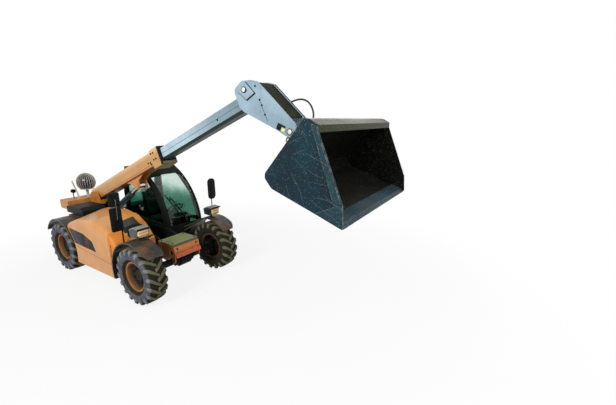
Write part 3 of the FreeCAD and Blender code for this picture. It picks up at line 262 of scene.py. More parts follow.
# %% [markdown]
# ## A finish from a few words
# Most of the machine is sprayed or moulded. One function builds such a finish: a base colour with broad mottling, a
# stain or two, dust on top, worn edges with bare metal, and a fine bump for orange peel or moulded grain. Each
# finish below is then a line of values that says how it differs from the rest.

# %% Painted and moulded finishes
EARTH = (0.16, 0.12, 0.07, 1.0)
PALE_DUST = (0.42, 0.36, 0.26, 1.0)
BARE_STEEL = (0.30, 0.29, 0.28, 1.0)


def new_material(name):
    material = bpy.data.materials.new(name)
    material.use_nodes = True
    tree = material.node_tree
    tree.nodes.clear()
    shader = tree.nodes.new("ShaderNodeBsdfPrincipled")
    output = tree.nodes.new("ShaderNodeOutputMaterial")
    tree.links.new(shader.outputs["BSDF"], output.inputs["Surface"])
    return material, tree, shader


def finish(name, colour, shade, roughness=0.4, metallic=0.0, coat=0.0, specular=0.5, dust=0.3, dust_colour=EARTH,
           wear=0.3, wear_colour=BARE_STEEL, wear_width=0.006, stain=0.2, scratch=0.0, grain=0.0, mottle_scale=2.5):
    """Paint or plastic: colour to shade by broad mottling, then stains, scratches, dust and worn edges."""
    material, tree, shader = new_material(name)
    place = stretched(tree)
    cloud = noise(tree, place, mottle_scale, 5.0, 0.6)
    tint = mixed(tree, rescale(tree, cloud, 0.35, 0.68), (*colour, 1.0), (*shade, 1.0))
    stain_mask = use(tree, STAIN_GROUP, {"Amount": stain}).outputs["Mask"]
    tint = mixed(tree, stain_mask, tint, tuple(0.35 * v for v in shade) + (1.0,))
    if scratch:
        scratch_mask = use(tree, SCRATCH_GROUP, {"Amount": scratch}).outputs["Mask"]
        tint = mixed(tree, scratch_mask, tint, wear_colour)
    dust_mask = use(tree, DUST_GROUP, {"Amount": dust}).outputs["Mask"]
    tint = mixed(tree, dust_mask, tint, dust_colour)
    wear_mask = use(tree, WEAR_GROUP, {"Amount": wear, "Width": wear_width}).outputs["Mask"]
    tint = mixed(tree, wear_mask, tint, wear_colour)
    tree.links.new(tint, shader.inputs["Base Color"])
    rough = maths(tree, "ADD", roughness, maths(tree, "MULTIPLY", dust_mask, 0.45), clamp=True)
    rough = maths(tree, "ADD", rough, maths(tree, "MULTIPLY", cloud, 0.12), clamp=True)
    tree.links.new(rough, shader.inputs["Roughness"])
    shader.inputs["Metallic"].default_value = metallic
    shader.inputs["Specular IOR Level"].default_value = specular
    shader.inputs["Coat Weight"].default_value = coat
    shader.inputs["Coat Roughness"].default_value = 0.12
    if grain:
        fine = noise(tree, place, 300.0, 2.0)
        bump = add(tree, "ShaderNodeBump", {"Height": fine, "Strength": grain, "Distance": 0.002})
        tree.links.new(bump.outputs["Normal"], shader.inputs["Normal"])
    return material


def tint_of(tree):
    """The shader of a finish and the colour that now feeds it."""
    shader = next(n for n in tree.nodes if n.type == "BSDF_PRINCIPLED")
    return shader, shader.inputs["Base Color"].links[0].from_socket


def overpaint(material, mask, colour, amount=1.0):
    """Lays a colour over a finish where the mask is 1."""
    tree = material.node_tree
    shader, tint = tint_of(tree)
    mask = maths(tree, "MULTIPLY", mask, amount, clamp=True)
    tree.links.new(mixed(tree, mask, tint, (*colour, 1.0)), shader.inputs["Base Color"])


def along(tree, way, start=(0.0, 0.0, 0.0), source="Object"):
    """How far a spot, or its normal, lies along a direction, measured from a start."""
    spot = add(tree, "ShaderNodeTexCoord").outputs[source]
    from_start = add(tree, "ShaderNodeVectorMath", {0: spot, 1: tuple(start)}, operation="SUBTRACT")
    return add(tree, "ShaderNodeVectorMath", {0: from_start.outputs["Vector"], 1: tuple(way)},
               operation="DOT_PRODUCT").outputs["Value"]


def between(tree, value, low, high, soft=0.002):
    """1 where a value lies between two levels, fading out over a short way."""
    return maths(tree, "MULTIPLY", rescale(tree, value, low - soft, low), rescale(tree, value, high + soft, high))


DARK_EARTH = (0.045, 0.032, 0.018, 1.0)
BOOM_ORANGE = finish("boom_paint", (0.52, 0.245, 0.048), (0.40, 0.200, 0.052), roughness=0.34, coat=0.25, dust=0.35,
                     dust_colour=PALE_DUST, wear=0.5, wear_colour=(0.12, 0.07, 0.03, 1), stain=0.30, grain=0.05,
                     mottle_scale=3.5)
HOOD_ORANGE = finish("hood_paint", (0.58, 0.235, 0.030), (0.49, 0.190, 0.030), roughness=0.30, coat=0.30, dust=0.28,
                     dust_colour=(0.46, 0.25, 0.14, 1), wear=0.55, wear_colour=(0.74, 0.50, 0.24, 1), stain=0.10,
                     grain=0.05)
COWL_ORANGE = finish("cowl_paint", (0.60, 0.190, 0.014), (0.48, 0.145, 0.012), roughness=0.42, specular=0.25, dust=0.15,
                     dust_colour=PALE_DUST, wear=0.5, wear_colour=(0.72, 0.44, 0.15, 1), stain=0.15, grain=0.05)
BOX_ORANGE = finish("box_paint", (0.50, 0.150, 0.020), (0.42, 0.125, 0.020), roughness=0.36, coat=0.2, dust=0.15,
                    wear=0.9, wear_colour=(0.62, 0.40, 0.07, 1), wear_width=0.009, stain=0.3)
TAIL_ORANGE = finish("tail_paint", (0.58, 0.225, 0.030), (0.42, 0.145, 0.020), roughness=0.36, coat=0.15, dust=0.12,
                     dust_colour=PALE_DUST, wear=0.5, wear_colour=(0.68, 0.42, 0.20, 1), stain=0.35)
RIM_ORANGE = finish("rim_paint", (0.40, 0.155, 0.035), (0.25, 0.095, 0.024), roughness=0.5, specular=0.2, dust=0.5, wear=0.5,
                    wear_colour=(0.12, 0.07, 0.04, 1), stain=0.4, mottle_scale=6.0)
GREY_BLUE = finish("grey_paint", (0.27, 0.38, 0.45), (0.195, 0.29, 0.36), roughness=0.36, coat=0.1, dust=0.20,
                   wear=0.7, wear_colour=(0.05, 0.06, 0.06, 1), stain=0.14, scratch=0.25, mottle_scale=3.0)
FLY_PAINT = finish("fly_paint", (0.40, 0.52, 0.58), (0.30, 0.41, 0.48), roughness=0.36, specular=0.25, dust=0.15,
                   wear=0.4, wear_colour=(0.05, 0.06, 0.06, 1), stain=0.10, scratch=0.3, mottle_scale=3.0)
COVER_BROWN = finish("cover_paint", (0.008, 0.011, 0.003), (0.004, 0.006, 0.002), roughness=0.55, specular=0.05,
                     dust=0.14, dust_colour=(0.06, 0.055, 0.02, 1), wear=0.5, wear_colour=(0.14, 0.12, 0.07, 1),
                     stain=0.4, scratch=0.3)
BLACK_STEEL = finish("black_steel", (0.0075, 0.0100, 0.0080), (0.0045, 0.0060, 0.0050), roughness=0.40, specular=0.05,
                     dust=0.12, dust_colour=DARK_EARTH, wear=0.5, wear_colour=(0.055, 0.060, 0.055, 1), stain=0.1)
FRAME_STEEL = finish("frame_steel", (0.0075, 0.0100, 0.0080), (0.0045, 0.0060, 0.0050), roughness=0.40,
                     specular=0.15, dust=0.12, dust_colour=DARK_EARTH, wear=0.4, wear_colour=(0.055, 0.060, 0.055, 1))
LAMP_SHELL = finish("lamp_shell", (0.050, 0.066, 0.082), (0.010, 0.014, 0.017), roughness=0.25, coat=0.2, specular=0.2,
                    dust=0.2, dust_colour=DARK_EARTH, wear=0.4, wear_colour=(0.30, 0.32, 0.34, 1), mottle_scale=5.0)
BLACK_PLASTIC = finish("black_plastic", (0.0065, 0.0085, 0.0080), (0.0040, 0.0055, 0.0050), roughness=0.36,
                       specular=0.08, dust=0.10, dust_colour=DARK_EARTH, wear=0.2, wear_colour=(0.05, 0.05, 0.05, 1),
                       grain=0.2)
# pale blue-grey on its worn edges: rubbed paint and a painted highlight along the fender's edges
FENDER_BLACK = finish("fender_plastic", (0.026, 0.036, 0.027), (0.006, 0.009, 0.009), roughness=0.20, coat=0.20,
                      specular=0.12, dust=0.70, dust_colour=(0.150, 0.070, 0.036, 1), wear=0.5,
                      wear_colour=(0.16, 0.19, 0.23, 1), wear_width=0.008)
BLADE_BLUE = finish("wear_steel", (0.007, 0.036, 0.050), (0.004, 0.020, 0.030), roughness=0.36, specular=0.2,
                    dust=0.2, dust_colour=(0.07, 0.075, 0.06, 1), wear=1.0, wear_colour=(0.30, 0.34, 0.33, 1),
                    wear_width=0.006, stain=0.3, scratch=0.5)
BARREL_BLUE = finish("cylinder_paint", (0.008, 0.026, 0.040), (0.005, 0.014, 0.022), roughness=0.32, coat=0.2,
                     specular=0.3, dust=0.15, dust_colour=DARK_EARTH, wear=0.4, stain=0.3)
BAR_RED = finish("bar_paint", (0.52, 0.105, 0.040), (0.36, 0.070, 0.03), roughness=0.42, dust=0.2, wear=0.9,
                 wear_colour=(0.58, 0.27, 0.14, 1), stain=0.3)
GUARD_PAINT = finish("guard_wire", (0.52, 0.46, 0.33), (0.34, 0.31, 0.23), roughness=0.45, dust=0.1, wear=0.4)
CAST_IRON = finish("engine_iron", (0.05, 0.05, 0.05), (0.03, 0.03, 0.03), roughness=0.6, metallic=0.3, dust=0.5,
                   grain=0.5)
RUBBER = finish("hose_rubber", (0.010, 0.010, 0.011), (0.016, 0.016, 0.016), roughness=0.5, specular=0.3, dust=0.2,
                wear=0.0, grain=0.2)
PAD_OLIVE = finish("pad_plastic", (0.16, 0.115, 0.035), (0.09, 0.070, 0.025), roughness=0.45, dust=0.3, wear=0.5)
PALE_CAP = finish("lamp_cap", (0.24, 0.25, 0.20), (0.14, 0.145, 0.12), roughness=0.35, dust=0.3, wear=0.4)
BRIGHT_STEEL = finish("bright_steel", (0.78, 0.77, 0.72), (0.60, 0.57, 0.50), roughness=0.30, metallic=0.3, dust=0.2,
                      wear=0.4, wear_colour=(0.75, 0.72, 0.65, 1))

BLOCK_YELLOW = finish("block_paint", (0.74, 0.66, 0.24), (0.60, 0.53, 0.20), roughness=0.4, dust=0.15, wear=0.4)

# lower strip of the boom's sides in deeper orange, as painted shade of its lower chamfer, with a thin painted shade
# line at the crease over it
BOOM_UP = (-math.sin(BOOM_ANGLE), 0.0, math.cos(BOOM_ANGLE))
BOOM_ALONG = (math.cos(BOOM_ANGLE), 0.0, math.sin(BOOM_ANGLE))
tree = BOOM_ORANGE.node_tree
height = along(tree, BOOM_UP, on_boom(0, 0, 0))
ahead = along(tree, BOOM_ALONG, on_boom(0, 0, 0))
tube = rescale(tree, ahead, 2.22, 2.218)
# painted highlight: the boom's sides go paler towards their top edge
overpaint(BOOM_ORANGE, rescale(tree, height, 0.070, 0.155), (0.74, 0.52, 0.28), 0.5)
# painted shade: deeper orange strip low on the sides, and a thin dark line along its upper crease
overpaint(BOOM_ORANGE, maths(tree, "MULTIPLY", rescale(tree, height, -0.030, -0.034), tube), (0.46, 0.150, 0.020), 0.7)
overpaint(BOOM_ORANGE, maths(tree, "MULTIPLY", between(tree, height, -0.034, -0.030), tube), (0.10, 0.045, 0.015))
# painted shade on the faces that look downwards
overpaint(BOOM_ORANGE, rescale(tree, along(tree, BOOM_UP, source="Normal"), -0.4, -0.8), (0.16, 0.075, 0.018), 0.8)

# fine joint along the inner boom, darker towards the nose end, and painted shade on its downward-facing chamfer and
# underside
tree = FLY_PAINT.node_tree
height = along(tree, BOOM_UP, on_boom(0, 0, 0))
ahead = along(tree, BOOM_ALONG, on_boom(0, 0, 0))
facing_up = along(tree, BOOM_UP, source="Normal")
overpaint(FLY_PAINT, rescale(tree, ahead, 2.9, 4.2), (0.10, 0.16, 0.19), 0.72)
overpaint(FLY_PAINT, between(tree, height, 0.047, 0.053), (0.06, 0.09, 0.11), 0.9)
# painted shade on the faces that look downwards
overpaint(FLY_PAINT, rescale(tree, facing_up, -0.15, -0.45), (0.012, 0.024, 0.022), 0.97)

# front box, one paint: brown sides as painted shade, an olive top as painted light, and a dark joint under the top
# plate
tree = BOX_ORANGE.node_tree
box_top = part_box("front_box")[1].z
up = along(tree, (0, 0, 1), source="Normal")
across = maths(tree, "ABSOLUTE", along(tree, (0, 1, 0), source="Normal"))
level = along(tree, (0, 0, 1))
front = rescale(tree, along(tree, (1, 0, 0), source="Normal"), 0.5, 0.8)
# painted shade: brown on the faces that look sideways
overpaint(BOX_ORANGE, rescale(tree, across, 0.8, 0.95), (0.13, 0.070, 0.018), 0.85)
# painted light: olive on the faces that look up
overpaint(BOX_ORANGE, rescale(tree, up, 0.90, 0.97), (0.19, 0.235, 0.105), 0.92)
overpaint(BOX_ORANGE, maths(tree, "MULTIPLY", front, rescale(tree, level, box_top - 0.044, box_top - 0.036)),
          (0.018, 0.024, 0.012), 0.95)

# black mesh of the air intake, from the hood's crown down the cowl
for material in (HOOD_ORANGE, COWL_ORANGE):
    tree = material.node_tree
    intake = between(tree, along(tree, (0, 1, 0)), -0.640, -0.348)
    intake = maths(tree, "MULTIPLY", intake, rescale(tree, along(tree, (1, 0, 0), at(0, 0, 0)), 0.403, 0.407))
    intake = maths(tree, "MULTIPLY", intake, rescale(tree, along(tree, (0, 0, 1)), 1.000, 1.004))
    overpaint(material, intake, (0.006, 0.009, 0.008))
print("finishes:", len(bpy.data.materials))

# %% [markdown]
# ## Finishes that need more than paint
# The bucket is painted outside and bare, earth-dark inside, where the dark is partly painted shade of the hollow, and
# one solid carries both, so a mask asks which way each spot faces: towards the middle of the load space or away from
# it.
# Tyres hold pale dirt and painted light on their lugs, stay black as painted shade in the grooves and carry a painted
# lilac sheen on their outer sidewalls, which the mesh itself says by attributes written when it is made. Glass, chrome
# and lamp lenses are plain shaders whose roughness and tint vary a little, because nothing on a working machine is
# spotless; the cab glass darkens towards the bottom as a painted reflection, and the headlight lenses carry a painted
# glow.

# %% Bucket, tyre, glass, chrome, cloth and lamp finishes


def facing_mask(tree, centre):
    """1 where a surface faces the centre, 0 where it faces away."""
    spot = add(tree, "ShaderNodeTexCoord")
    towards = add(tree, "ShaderNodeVectorMath", {0: tuple(centre), 1: spot.outputs["Object"]}, operation="SUBTRACT")
    dot = add(tree, "ShaderNodeVectorMath", {0: towards.outputs["Vector"], 1: spot.outputs["Normal"]},
              operation="DOT_PRODUCT")
    return rescale(tree, dot.outputs["Value"], 0.0, 0.05)


BUCKET_BLUE = finish("bucket_paint", (0.0032, 0.023, 0.036), (0.0018, 0.012, 0.020), roughness=0.34, specular=0.15,
                     dust=0.10, dust_colour=(0.06, 0.07, 0.06, 1), wear=0.8, wear_colour=(0.24, 0.25, 0.22, 1),
                     wear_width=0.008, stain=0.25, scratch=0.60, mottle_scale=3.0)
tree = BUCKET_BLUE.node_tree
shader, tint = tint_of(tree)
grit = rescale(tree, noise(tree, stretched(tree), 75.0, 3.0, 0.6), 0.60, 0.68)
streak = rescale(tree, noise(tree, stretched(tree, (9.0, 1.2, 1.2)), 5.0, 5.0, 0.7), 0.56, 0.72)
grit = maths(tree, "MULTIPLY", grit, maths(tree, "ADD", 0.3, maths(tree, "MULTIPLY", streak, 0.7)))
# inside of the bucket: earth-dark, and darker than its earth as painted shade of the hollow, with pale grit and streaks
inside = mixed(tree, grit, (0.0025, 0.0030, 0.0022, 1), (0.30, 0.25, 0.17, 1))
tree.links.new(mixed(tree, facing_mask(tree, at(4.30, 0, 2.35)), tint, inside), shader.inputs["Base Color"])
level = along(tree, (0, 0, 1))
across = maths(tree, "ABSOLUTE", along(tree, (0, 1, 0), source="Normal"))
lip = rescale(tree, level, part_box("bucket")[1].z - 0.145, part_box("bucket")[1].z - 0.135)
overpaint(BUCKET_BLUE, maths(tree, "MULTIPLY", lip, rescale(tree, across, 0.7, 0.5)), (0.015, 0.016, 0.005))
specks = rescale(tree, noise(tree, stretched(tree), 75.0, 3.0, 0.6), 0.62, 0.68)
overpaint(BUCKET_BLUE, maths(tree, "MULTIPLY", specks, lip), (0.30, 0.25, 0.15), 0.8)

TYRE_RUBBER, tree, shader = new_material("tyre")
lug_mark = add(tree, "ShaderNodeAttribute", attribute_name="lug").outputs["Fac"]
wall_sheen_mark = add(tree, "ShaderNodeAttribute", attribute_name="wall").outputs["Fac"]
earth = rescale(tree, noise(tree, stretched(tree), 14.0, 7.0, 0.7), 0.30, 0.62)
# painted shade: the grooves go darker than the rubber itself
groove_shade = mixed(tree, earth, (0.003, 0.004, 0.003, 1), (0.009, 0.009, 0.006, 1))
# lug tops in pale olive: dust and painted light together
top = mixed(tree, earth, (0.068, 0.066, 0.038, 1), (0.145, 0.135, 0.080, 1))
# painted sheen: pale lilac-grey for the outer sidewalls, where the mesh marks them
wall = mixed(tree, earth, (0.070, 0.075, 0.098, 1), (0.215, 0.220, 0.270, 1))
tread = mixed(tree, lug_mark, groove_shade, top)
tree.links.new(mixed(tree, wall_sheen_mark, tread, wall), shader.inputs["Base Color"])
rough = maths(tree, "ADD", 0.50, maths(tree, "MULTIPLY", earth, 0.3))
tree.links.new(rough, shader.inputs["Roughness"])
shader.inputs["Specular IOR Level"].default_value = 0.08
pits = add(tree, "ShaderNodeBump", {"Height": noise(tree, stretched(tree), 180.0, 4.0), "Strength": 0.35,
                                    "Distance": 0.002})
tree.links.new(pits.outputs["Normal"], shader.inputs["Normal"])

tree = RIM_ORANGE.node_tree
# painted shade with old dirt: the rim's dish and back go dark where the mesh marks them
deep_shade_mark = add(tree, "ShaderNodeAttribute", attribute_name="deep").outputs["Fac"]
overpaint(RIM_ORANGE, deep_shade_mark, (0.009, 0.007, 0.005))

CHROME, tree, shader = new_material("chrome_rod")
shader.inputs["Metallic"].default_value = 1.0
film = noise(tree, stretched(tree, (1, 1, 1)), 9.0, 5.0)
tree.links.new(mixed(tree, film, (0.72, 0.73, 0.75, 1), (0.50, 0.50, 0.50, 1)), shader.inputs["Base Color"])
tree.links.new(rescale(tree, film, 0.3, 0.8, 0.08, 0.30), shader.inputs["Roughness"])


def clear_finish(name, tint, smear, roughness=0.02, transmission=1.0, dust=0.12):
    """Glass or clear plastic: one tint, a little dirt that roughens and dulls it."""
    material, tree, shader = new_material(name)
    haze = use(tree, DUST_GROUP, {"Amount": dust, "Scale": 2.0}).outputs["Mask"]
    tree.links.new(mixed(tree, haze, (*tint, 1.0), (*smear, 1.0)), shader.inputs["Base Color"])
    tree.links.new(maths(tree, "ADD", roughness, maths(tree, "MULTIPLY", haze, 0.5)), shader.inputs["Roughness"])
    shader.inputs["Transmission Weight"].default_value = transmission
    shader.inputs["IOR"].default_value = 1.45
    return material


CAB_GLASS = clear_finish("cab_glass", (0.82, 0.92, 0.88), (0.30, 0.36, 0.31))
# painted reflection: the glass turns deep green towards the bottom, for the dark reflections in its lower half
tree = CAB_GLASS.node_tree
waver = maths(tree, "MULTIPLY", noise(tree, stretched(tree), 2.2, 3.0), 0.35)
overpaint(CAB_GLASS, rescale(tree, maths(tree, "ADD", along(tree, (0, 0, 1)), waver), 1.78, 1.46), (0.13, 0.36, 0.27))
LAMP_GLASS = clear_finish("lamp_glass", (0.72, 0.38, 0.12), (0.62, 0.42, 0.20), roughness=0.08, transmission=0.20)
tree = LAMP_GLASS.node_tree
# painted glow: bright amber bands laid on the lens as if it were lit from within
painted_glow = add(tree, "ShaderNodeTexWave", {"Vector": stretched(tree, (1, 1, 1)), "Scale": 7.0, "Distortion": 1.5},
           bands_direction="Z").outputs["Fac"]
overpaint(LAMP_GLASS, rescale(tree, painted_glow, 0.45, 0.9), (1.0, 0.78, 0.42), 0.8)
RED_GLASS = clear_finish("tail_lamp_glass", (0.55, 0.02, 0.02), (0.20, 0.04, 0.03), roughness=0.15, transmission=0.3)
DOME_BLUE = clear_finish("beacon_lens", (0.008, 0.013, 0.040), (0.03, 0.03, 0.04), roughness=0.10, transmission=0.1)

MIRROR, tree, shader = new_material("mirror_glass")
shader.inputs["Metallic"].default_value = 1.0
film = noise(tree, stretched(tree), 6.0, 4.0)
tree.links.new(mixed(tree, film, (0.80, 0.83, 0.84, 1), (0.70, 0.72, 0.72, 1)), shader.inputs["Base Color"])
tree.links.new(rescale(tree, film, 0.3, 0.8, 0.02, 0.08), shader.inputs["Roughness"])

SEAT_CLOTH, tree, shader = new_material("seat_cloth")
place = stretched(tree)
weave = [add(tree, "ShaderNodeTexWave", {"Vector": place, "Scale": 90.0, "Distortion": 0.4},
             bands_direction=way).outputs["Fac"] for way in ("X", "Y", "Z")]
thread = maths(tree, "MAXIMUM", maths(tree, "MULTIPLY", weave[0], weave[1]), maths(tree, "MULTIPLY", weave[1], weave[2]))
tree.links.new(mixed(tree, thread, (0.012, 0.012, 0.014, 1), (0.050, 0.052, 0.060, 1)), shader.inputs["Base Color"])
shader.inputs["Roughness"].default_value = 0.85
shader.inputs["Sheen Weight"].default_value = 0.3
cloth_bump = add(tree, "ShaderNodeBump", {"Height": thread, "Strength": 0.4, "Distance": 0.001})
tree.links.new(cloth_bump.outputs["Normal"], shader.inputs["Normal"])

MESH_PLASTIC = finish("side_grille", (0.115, 0.110, 0.140), (0.050, 0.050, 0.062), roughness=0.5, specular=0.2,
                      dust=0.2, wear=0.2)
tree = MESH_PLASTIC.node_tree
cells = add(tree, "ShaderNodeTexVoronoi", {"Vector": stretched(tree, (1, 0, 1)), "Scale": 95.0, "Randomness": 0.0},
            feature="F1").outputs["Distance"]
overpaint(MESH_PLASTIC, rescale(tree, cells, 0.40, 0.30), (0.004, 0.004, 0.004))
grille_from, grille_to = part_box("hood_grille")
ahead = along(tree, (1, 0, 0), grille_from)
grille_long = grille_to.x - grille_from.x
overpaint(MESH_PLASTIC, rescale(tree, ahead, 0.30 * grille_long, 0.55 * grille_long), (0.007, 0.009, 0.009), 0.9)
band = between(tree, ahead, 0.62 * grille_long, 0.76 * grille_long, 0.01)
band = maths(tree, "MULTIPLY", band, rescale(tree, along(tree, (0, 0, 1), grille_from), 0.05, 0.07))
overpaint(MESH_PLASTIC, band, (0.10, 0.035, 0.012), 0.7)

# orange bracket that carries the boom over the black frame
overpaint(FRAME_STEEL, rescale(FRAME_STEEL.node_tree, along(FRAME_STEEL.node_tree, (0, 0, 1)), 1.10, 1.13),
          (0.44, 0.165, 0.028), 0.92)

# painted shade in the gaps of the louvres in the top of the tail
tree = TAIL_ORANGE.node_tree
ahead = along(tree, (1, 0, 0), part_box("rear_beam")[0])
gaps = [between(tree, ahead, start, start + 0.016) for start in (0.085, 0.155, 0.225)]
gaps = maths(tree, "MAXIMUM", maths(tree, "MAXIMUM", gaps[0], gaps[1]), gaps[2])
gaps = maths(tree, "MULTIPLY", gaps, rescale(tree, along(tree, (0, 0, 1), source="Normal"), 0.7, 0.9))
overpaint(TAIL_ORANGE, gaps, (0.10, 0.040, 0.010), 0.85)
print("special finishes:", len(bpy.data.materials))

# %% [markdown]
# ## Dressing the solids
# Every solid that stays as it is only needs its finish. The list below names the finish once and the solids that
# wear it, so a colour that looks wrong is changed in one place.

# %% Finish of each solid
WHEELS = ("front_right", "front_left", "rear_right", "rear_left")
DRESS = [
    (BOOM_ORANGE, "boom_tube"),
    (HOOD_ORANGE, "hood_shell side_skirt"),
    (COWL_ORANGE, "front_cowl"),
    (BOX_ORANGE, "front_box"),
    (TAIL_ORANGE, "rear_beam"),
    (FLY_PAINT, "fly_tube"),
    (GREY_BLUE, "nose"),
    (COVER_BROWN, "nose_cover"),
    (BUCKET_BLUE, "bucket"),
    (BLADE_BLUE, "cutting_edge"),
    (FRAME_STEEL, "chassis"),
    (BLACK_STEEL, "carriage front_axle rear_axle counterweight hitch entry_step bay_wall cab_frame door_frame"
                  " seat_base " + " ".join("knuckle_" + w for w in WHEELS)),
    (FENDER_BLACK, "front_fenders rear_fenders"),
    (BLACK_PLASTIC, "rear_cover fuel_tank controls mirrors cowl_grille"),
    (LAMP_SHELL, "lamp_housings"),
    (MESH_PLASTIC, "hood_grille"),
    (CAB_GLASS, "cab_glass door_glass"),
    (SEAT_CLOTH, "seat_cushion seat_back"),
    (TYRE_RUBBER, " ".join("tyre_" + w for w in WHEELS)),
    (RIM_ORANGE, " ".join("rim_" + w for w in WHEELS)),
    (BARREL_BLUE, "lift_barrel tilt_barrel"),
    (CHROME, "lift_rod tilt_rod"),
    (BAR_RED, "bumper_bar"),
    (GUARD_PAINT, "beacon_guard"),
    (DOME_BLUE, "beacon_lens"),
    (CAST_IRON, "engine"),
    (RUBBER, "nose_hose"),
]
dressed = set()
for material, names in DRESS:
    for name in names.split():
        solid = nodes[name]
        if solid.material_slots:
            solid.material_slots[0].material = material
        else:
            solid.data.materials.append(material)
        dressed.add(name)
print("solids dressed:", len(dressed), "left:", sorted(set(nodes) - dressed))

# %% [markdown]
# ## The hose on the boom's nose
# A short hydraulic hose loops round the front edge of the nose plate, from one fitting to the other. A curve with a
# round bevel is the simplest true form of a hose. Its control points are the same few places that the solid's route
# has, and the smooth spline through them gives the soft bend of real rubber.

# %% Hose
TIP_PIN = (3.6292, 2.6585)
HOSE_Y = 0.1655
HOSE_POINTS = [(-0.2042, 0.3515), (-0.1292, 0.3755), (-0.0292, 0.3775), (0.0558, 0.3365), (0.1088, 0.2465),
               (0.1158, 0.1565), (0.0928, 0.0895)]

hose_data = bpy.data.curves.new("nose_hose_line", "CURVE")
hose_data.dimensions = "3D"
hose_data.bevel_depth = 0.011
hose_data.bevel_resolution = 4
hose_data.resolution_u = 10
hose_data.use_fill_caps = True
spline = hose_data.splines.new("NURBS")
spline.points.add(len(HOSE_POINTS) - 1)
for point, (x, z) in zip(spline.points, HOSE_POINTS):
    point.co = (*at(TIP_PIN[0] + x, HOSE_Y, TIP_PIN[1] + z), 1.0)
spline.order_u = 3
spline.use_endpoint_u = True
hose = bpy.data.objects.new("nose_hose_rubber", hose_data)
bpy.context.scene.collection.objects.link(hose)
hose_data.materials.append(RUBBER)
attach(hose, "fly")
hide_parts("nose_hose")
print("hose control points:", len(HOSE_POINTS))

# %% [markdown]
# ## Helpers for meshes
# Most pieces here are a profile turned about an axle, a flat outline given a thickness, or a box with softened edges.
# Three helpers make those from plain numbers. Each piece is written at its real place, smooth where it curves and
# sharp where it bends, and then told which body it rides on.

# %% Mesh helpers


def new_piece(name, mesh, body, *materials):
    """Object of a finished mesh at the origin, smooth but for its sharp bends, riding on a body."""
    if isinstance(mesh, bmesh.types.BMesh):
        filled = bpy.data.meshes.new(name)
        bmesh.ops.recalc_face_normals(mesh, faces=mesh.faces[:])
        mesh.to_mesh(filled)
        mesh.free()
        mesh = filled
    for material in materials:
        mesh.materials.append(material)
    mesh.polygons.foreach_set("use_smooth", [True] * len(mesh.polygons))
    mesh.set_sharp_from_angle(angle=math.radians(32))
    piece = bpy.data.objects.new(name, mesh)
    bpy.context.scene.collection.objects.link(piece)
    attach(piece, body)
    return piece


def turned(bm, profile, centre, axis="y", segments=64, side=1):
    """Closed profile of (along, radius) turned about an axis through the centre; points on the axis are merged."""
    rings = []
    for along, radius in profile:
        ring = []
        for k in range(segments):
            a = 2 * math.pi * k / segments
            across, up = radius * math.sin(a), -radius * math.cos(a)
            spot = {"y": (across, side * along, up), "x": (side * along, across, up),
                    "z": (across, up, side * along)}[axis]
            ring.append(bm.verts.new(Vector(centre) + Vector(spot)))
        rings.append(ring)
    for first, second in zip(rings, rings[1:] + rings[:1]):
        for k in range(segments):
            n = (k + 1) % segments
            bm.faces.new((first[k], first[n], second[n], second[k]))
    bmesh.ops.remove_doubles(bm, verts=bm.verts[:], dist=1e-5)
    return rings


def slab(bm, points, lift):
    """Flat outline of 3-D points given a thickness along the vector lift."""
    low = [bm.verts.new(Vector(p)) for p in points]
    high = [bm.verts.new(Vector(p) + Vector(lift)) for p in points]
    bm.faces.new(low)
    bm.faces.new(high[::-1])
    for k in range(len(points)):
        n = (k + 1) % len(points)
        bm.faces.new((low[k], high[k], high[n], low[n]))


def softened(bm, width, segments=2):
    """Rounds every edge of a bmesh that bends by more than 25 degrees."""
    bmesh.ops.recalc_face_normals(bm, faces=bm.faces[:])
    bends = [e for e in bm.edges if len(e.link_faces) == 2 and e.calc_face_angle(0) > math.radians(25)]
    bmesh.ops.bevel(bm, geom=bends, offset=width, segments=segments, profile=0.5, affect="EDGES",
                    clamp_overlap=True)


def lofted(bm, rings):
    """Skin through rings of equally many points, closed at both ends."""
    made = [[bm.verts.new(Vector(p)) for p in ring] for ring in rings]
    for first, second in zip(made, made[1:]):
        for k in range(len(first)):
            n = (k + 1) % len(first)
            bm.faces.new((first[k], first[n], second[n], second[k]))
    bm.faces.new(made[0])
    bm.faces.new(made[-1][::-1])


def rounded(half_a, half_b, radius, steps=5):
    """Outline (a, b) of a rounded rectangle about the origin."""
    points = []
    for quarter, (i, j) in enumerate(((1, 1), (-1, 1), (-1, -1), (1, -1))):
        for k in range(steps + 1):
            turn = math.pi / 2 * (quarter + k / steps)
            points.append((i * (half_a - radius) + radius * math.cos(turn),
                           j * (half_b - radius) + radius * math.sin(turn)))
    return points


def domed(bm, centre, way_a, way_b, half_a, half_b, radius, layers):
    """Rounded plate or pad built of layers (lift, inset), lifted square to both of its ways."""
    way_a, way_b = Vector(way_a).normalized(), Vector(way_b).normalized()
    out = way_a.cross(way_b)
    rings = []
    for lift, inset in layers:
        shape = rounded(half_a - inset, half_b - inset, max(radius - inset, 0.002))
        rings.append([Vector(centre) + way_a * a + way_b * b + out * lift for a, b in shape])
    lofted(bm, rings)


def ribbon(bm, points, half_width, thickness):
    """Bar of rectangular section through points, half its width and its thickness given as vectors."""
    half_width, thickness = Vector(half_width), Vector(thickness)
    lofted(bm, [[p - half_width, p + half_width, p + half_width + thickness, p - half_width + thickness]
                for p in points])


def pipe_through(bm, points, radius, sides=10):
    """Round bar through points, each ring square to the way to its neighbours."""
    rings = []
    for k, point in enumerate(points):
        way = (points[min(k + 1, len(points) - 1)] - points[max(k - 1, 0)]).normalized()
        first = way.orthogonal().normalized() if not rings else (axis - way * axis.dot(way)).normalized()
        axis = first
        second = way.cross(first)
        rings.append([point + (first * math.cos(2 * math.pi * i / sides)
                               + second * math.sin(2 * math.pi * i / sides)) * radius for i in range(sides)])
    lofted(bm, rings)


print("mesh helpers ready")

